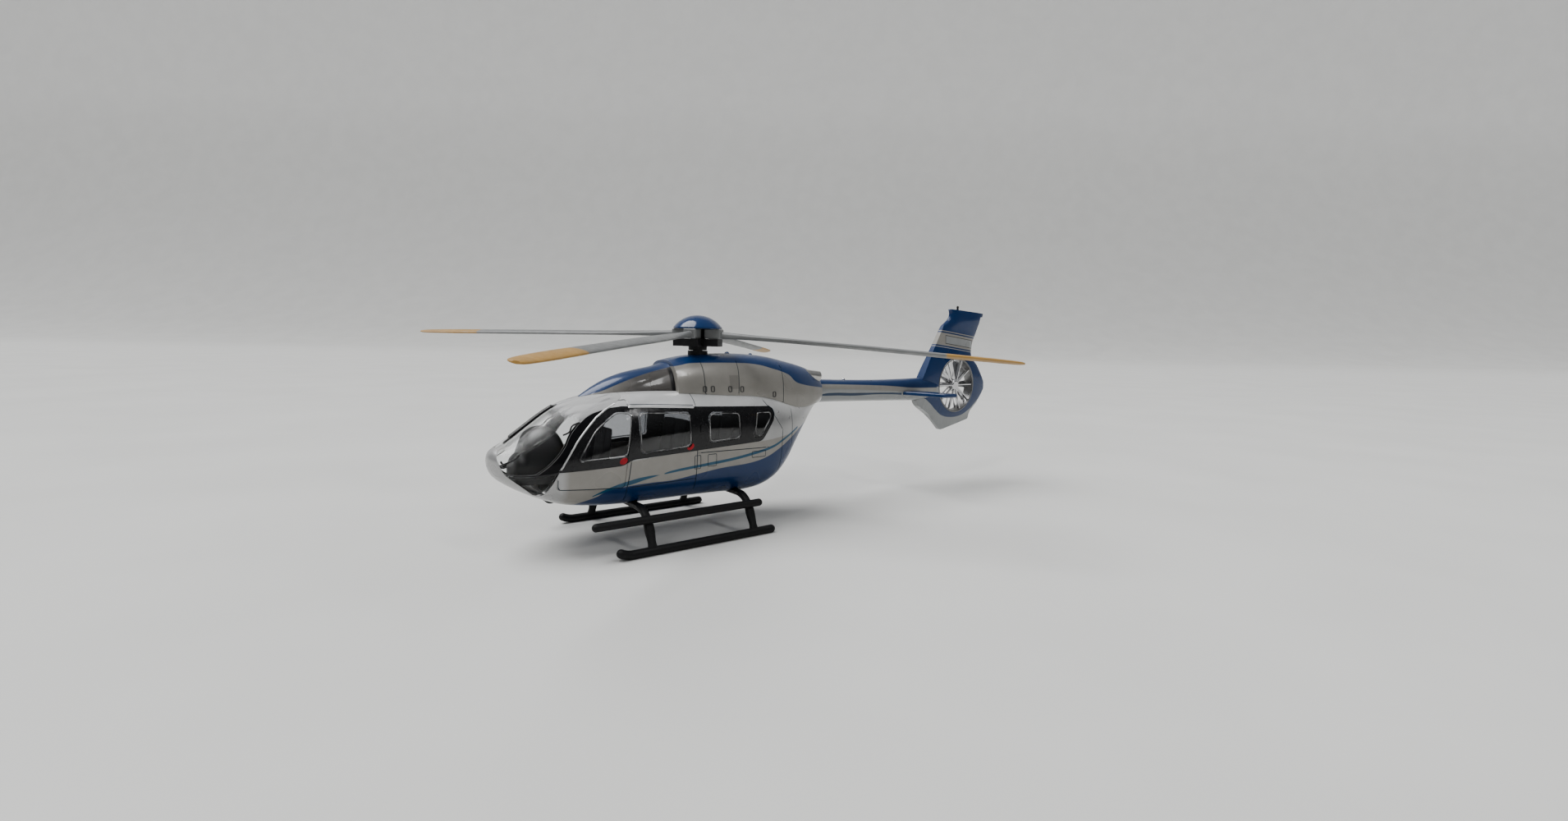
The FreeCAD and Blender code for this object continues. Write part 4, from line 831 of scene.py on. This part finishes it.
def headrests():
    """Rounded headrests on the two front seats, each on two short stalks."""
    half_width, half_depth, half_height, lean = 1.55 * MM, 0.75 * MM, 1.15 * MM, 0.25 * MM
    rings, around = 10, 24
    for word in ("left", "right"):
        low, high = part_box(f"pilot_seat_{word}")
        middle, back, top = (low.x + high.x) / 2, high.y - 1.6 * MM, high.z + 1.0 * MM
        verts = []
        for ring in range(rings + 1):
            tilt = math.pi * ring / rings - math.pi / 2
            for step in range(around):
                turn = 2 * math.pi * step / around
                reach = bulge(turn, 4) * math.cos(tilt) ** 0.45
                rise = math.copysign(abs(math.sin(tilt)) ** 0.6, tilt)
                verts.append(Vector((middle + half_width * reach * math.cos(turn),
                                     back + half_depth * reach * math.sin(turn) + lean * rise,
                                     top + half_height * rise)))
        pad = merged([(verts, rings_joined(rings + 1, around))])
        stalks = wires([[Vector((middle + shift * MM, back, top - 2.2 * MM)),
                         Vector((middle + shift * MM, back, top))] for shift in (-0.7, 0.7)], 0.12)
        add(pad, f"headrest_{word}", "seat_plastic")
        add(stalks, f"headrest_stalks_{word}", "black_plastic")


window_beads()
headrests()
side_details()
wipers()
middle_details()
glare_shield()
soften_seats()


def stage_set():
    """A pale floor that curves up into a backdrop far behind the model. Lengths here are metres."""
    half_width, front, bend_start, bend_radius, height = 8.0, -8.0, 1.6, 0.8, 3.0
    bend_steps = 12
    profile = [(front, 0.0), (bend_start, 0.0)]
    for step in range(1, bend_steps + 1):
        turn = math.pi / 2 * step / bend_steps
        profile.append((bend_start + bend_radius * math.sin(turn), bend_radius * (1 - math.cos(turn))))
    profile.append((bend_start + bend_radius, height))
    mesh = bpy.data.meshes.new("floor")
    points = [(side * half_width, run, rise) for run, rise in profile for side in (-1, 1)]
    faces = [(2 * i, 2 * i + 1, 2 * i + 3, 2 * i + 2) for i in range(len(profile) - 1)]
    mesh.from_pydata(points, [], faces)
    mesh.shade_smooth()
    floor = bpy.data.objects.new("floor", mesh)
    floor.rotation_euler.z = math.radians(52)
    bpy.context.scene.collection.objects.link(floor)
    paint = Paint("floor_paint")
    paint.set(Base_Color=paint.mottled((0.60, 0.60, 0.585), 0.05, 0.02), Roughness=0.75)
    glow = paint.span(paint.z, 60, 900, 0.0, 0.27)
    paint.set(Emission_Color=(1.0, 1.0, 0.99), Emission_Strength=glow)
    paint.bump(paint.noise(1.2), 0.05)
    mesh.materials.append(paint.material)


def area_light(name, spot, aim, width, length, watts):
    """A rectangular soft box at a spot, pointed at another. Lengths are metres."""
    lamp = bpy.data.lights.new(name, "AREA")
    lamp.shape = "RECTANGLE"
    lamp.size = width
    lamp.size_y = length
    lamp.energy = watts
    item = bpy.data.objects.new(name, lamp)
    item.location = spot
    item.rotation_mode = "QUATERNION"
    item.rotation_quaternion = (Vector(aim) - Vector(spot)).to_track_quat("-Z", "Y")
    bpy.context.scene.collection.objects.link(item)


def lighting():
    """Soft even light: a wide sun from the front, two soft boxes above, a room darker low down."""
    world = bpy.data.worlds.new("studio")
    bpy.context.scene.world = world
    world.use_nodes = True
    nodes, links = world.node_tree.nodes, world.node_tree.links
    split = nodes.new("ShaderNodeSeparateXYZ")
    links.new(nodes.new("ShaderNodeTexCoord").outputs["Generated"], split.inputs[0])
    rise = nodes.new("ShaderNodeMapRange")
    links.new(split.outputs[2], rise.inputs["Value"])
    for socket, number in (("From Min", 0.02), ("From Max", 0.8), ("To Min", 0.05), ("To Max", 0.32)):
        rise.inputs[socket].default_value = number
    nodes["Background"].inputs[0].default_value = (0.93, 0.96, 1.0, 1)
    seen = nodes.new("ShaderNodeMix")
    links.new(nodes.new("ShaderNodeLightPath").outputs["Is Camera Ray"], seen.inputs["Factor"])
    links.new(rise.outputs[0], seen.inputs["A"])
    seen.inputs["B"].default_value = 0.72
    links.new(seen.outputs["Result"], nodes["Background"].inputs[1])
    sun = bpy.data.lights.new("sun", "SUN")
    sun.energy = 3.9
    sun.angle = 0.75
    lamp = bpy.data.objects.new("sun", sun)
    lamp.rotation_mode = "QUATERNION"
    lamp.rotation_quaternion = Vector((0.30, 0.34, -0.89)).to_track_quat("-Z", "Y")
    bpy.context.scene.collection.objects.link(lamp)
    model = (0, 0, 0.03)
    area_light("box_front", (0.20, -0.50, 0.62), model, 0.04, 0.34, 1.1)
    area_light("box_rear", (0.46, 0.10, 0.60), model, 0.04, 0.34, 1.1)


def camera():
    """A wide, close camera ahead of the model's port beam, a little above the ground."""
    view = Vector((-0.78688, 0.60822, -0.10449)).normalized()
    roll = math.radians(1.2485)
    level = view.cross(Vector((0, 0, 1))).normalized()
    upright = level.cross(view)
    right = math.cos(roll) * level + math.sin(roll) * upright
    up = math.cos(roll) * upright - math.sin(roll) * level
    lens = bpy.data.cameras.new("camera")
    lens.sensor_width = 36.0
    lens.lens = 15.272
    lens.clip_start = 0.01
    item = bpy.data.objects.new("camera", lens)
    spot = place(117.61, -68.52, 37.95)
    turn = Matrix((right, up, -view)).transposed().to_4x4()
    item.matrix_world = Matrix.Translation(spot) @ turn
    bpy.context.scene.collection.objects.link(item)
    bpy.context.scene.camera = item


stage_set()
lighting()
camera()
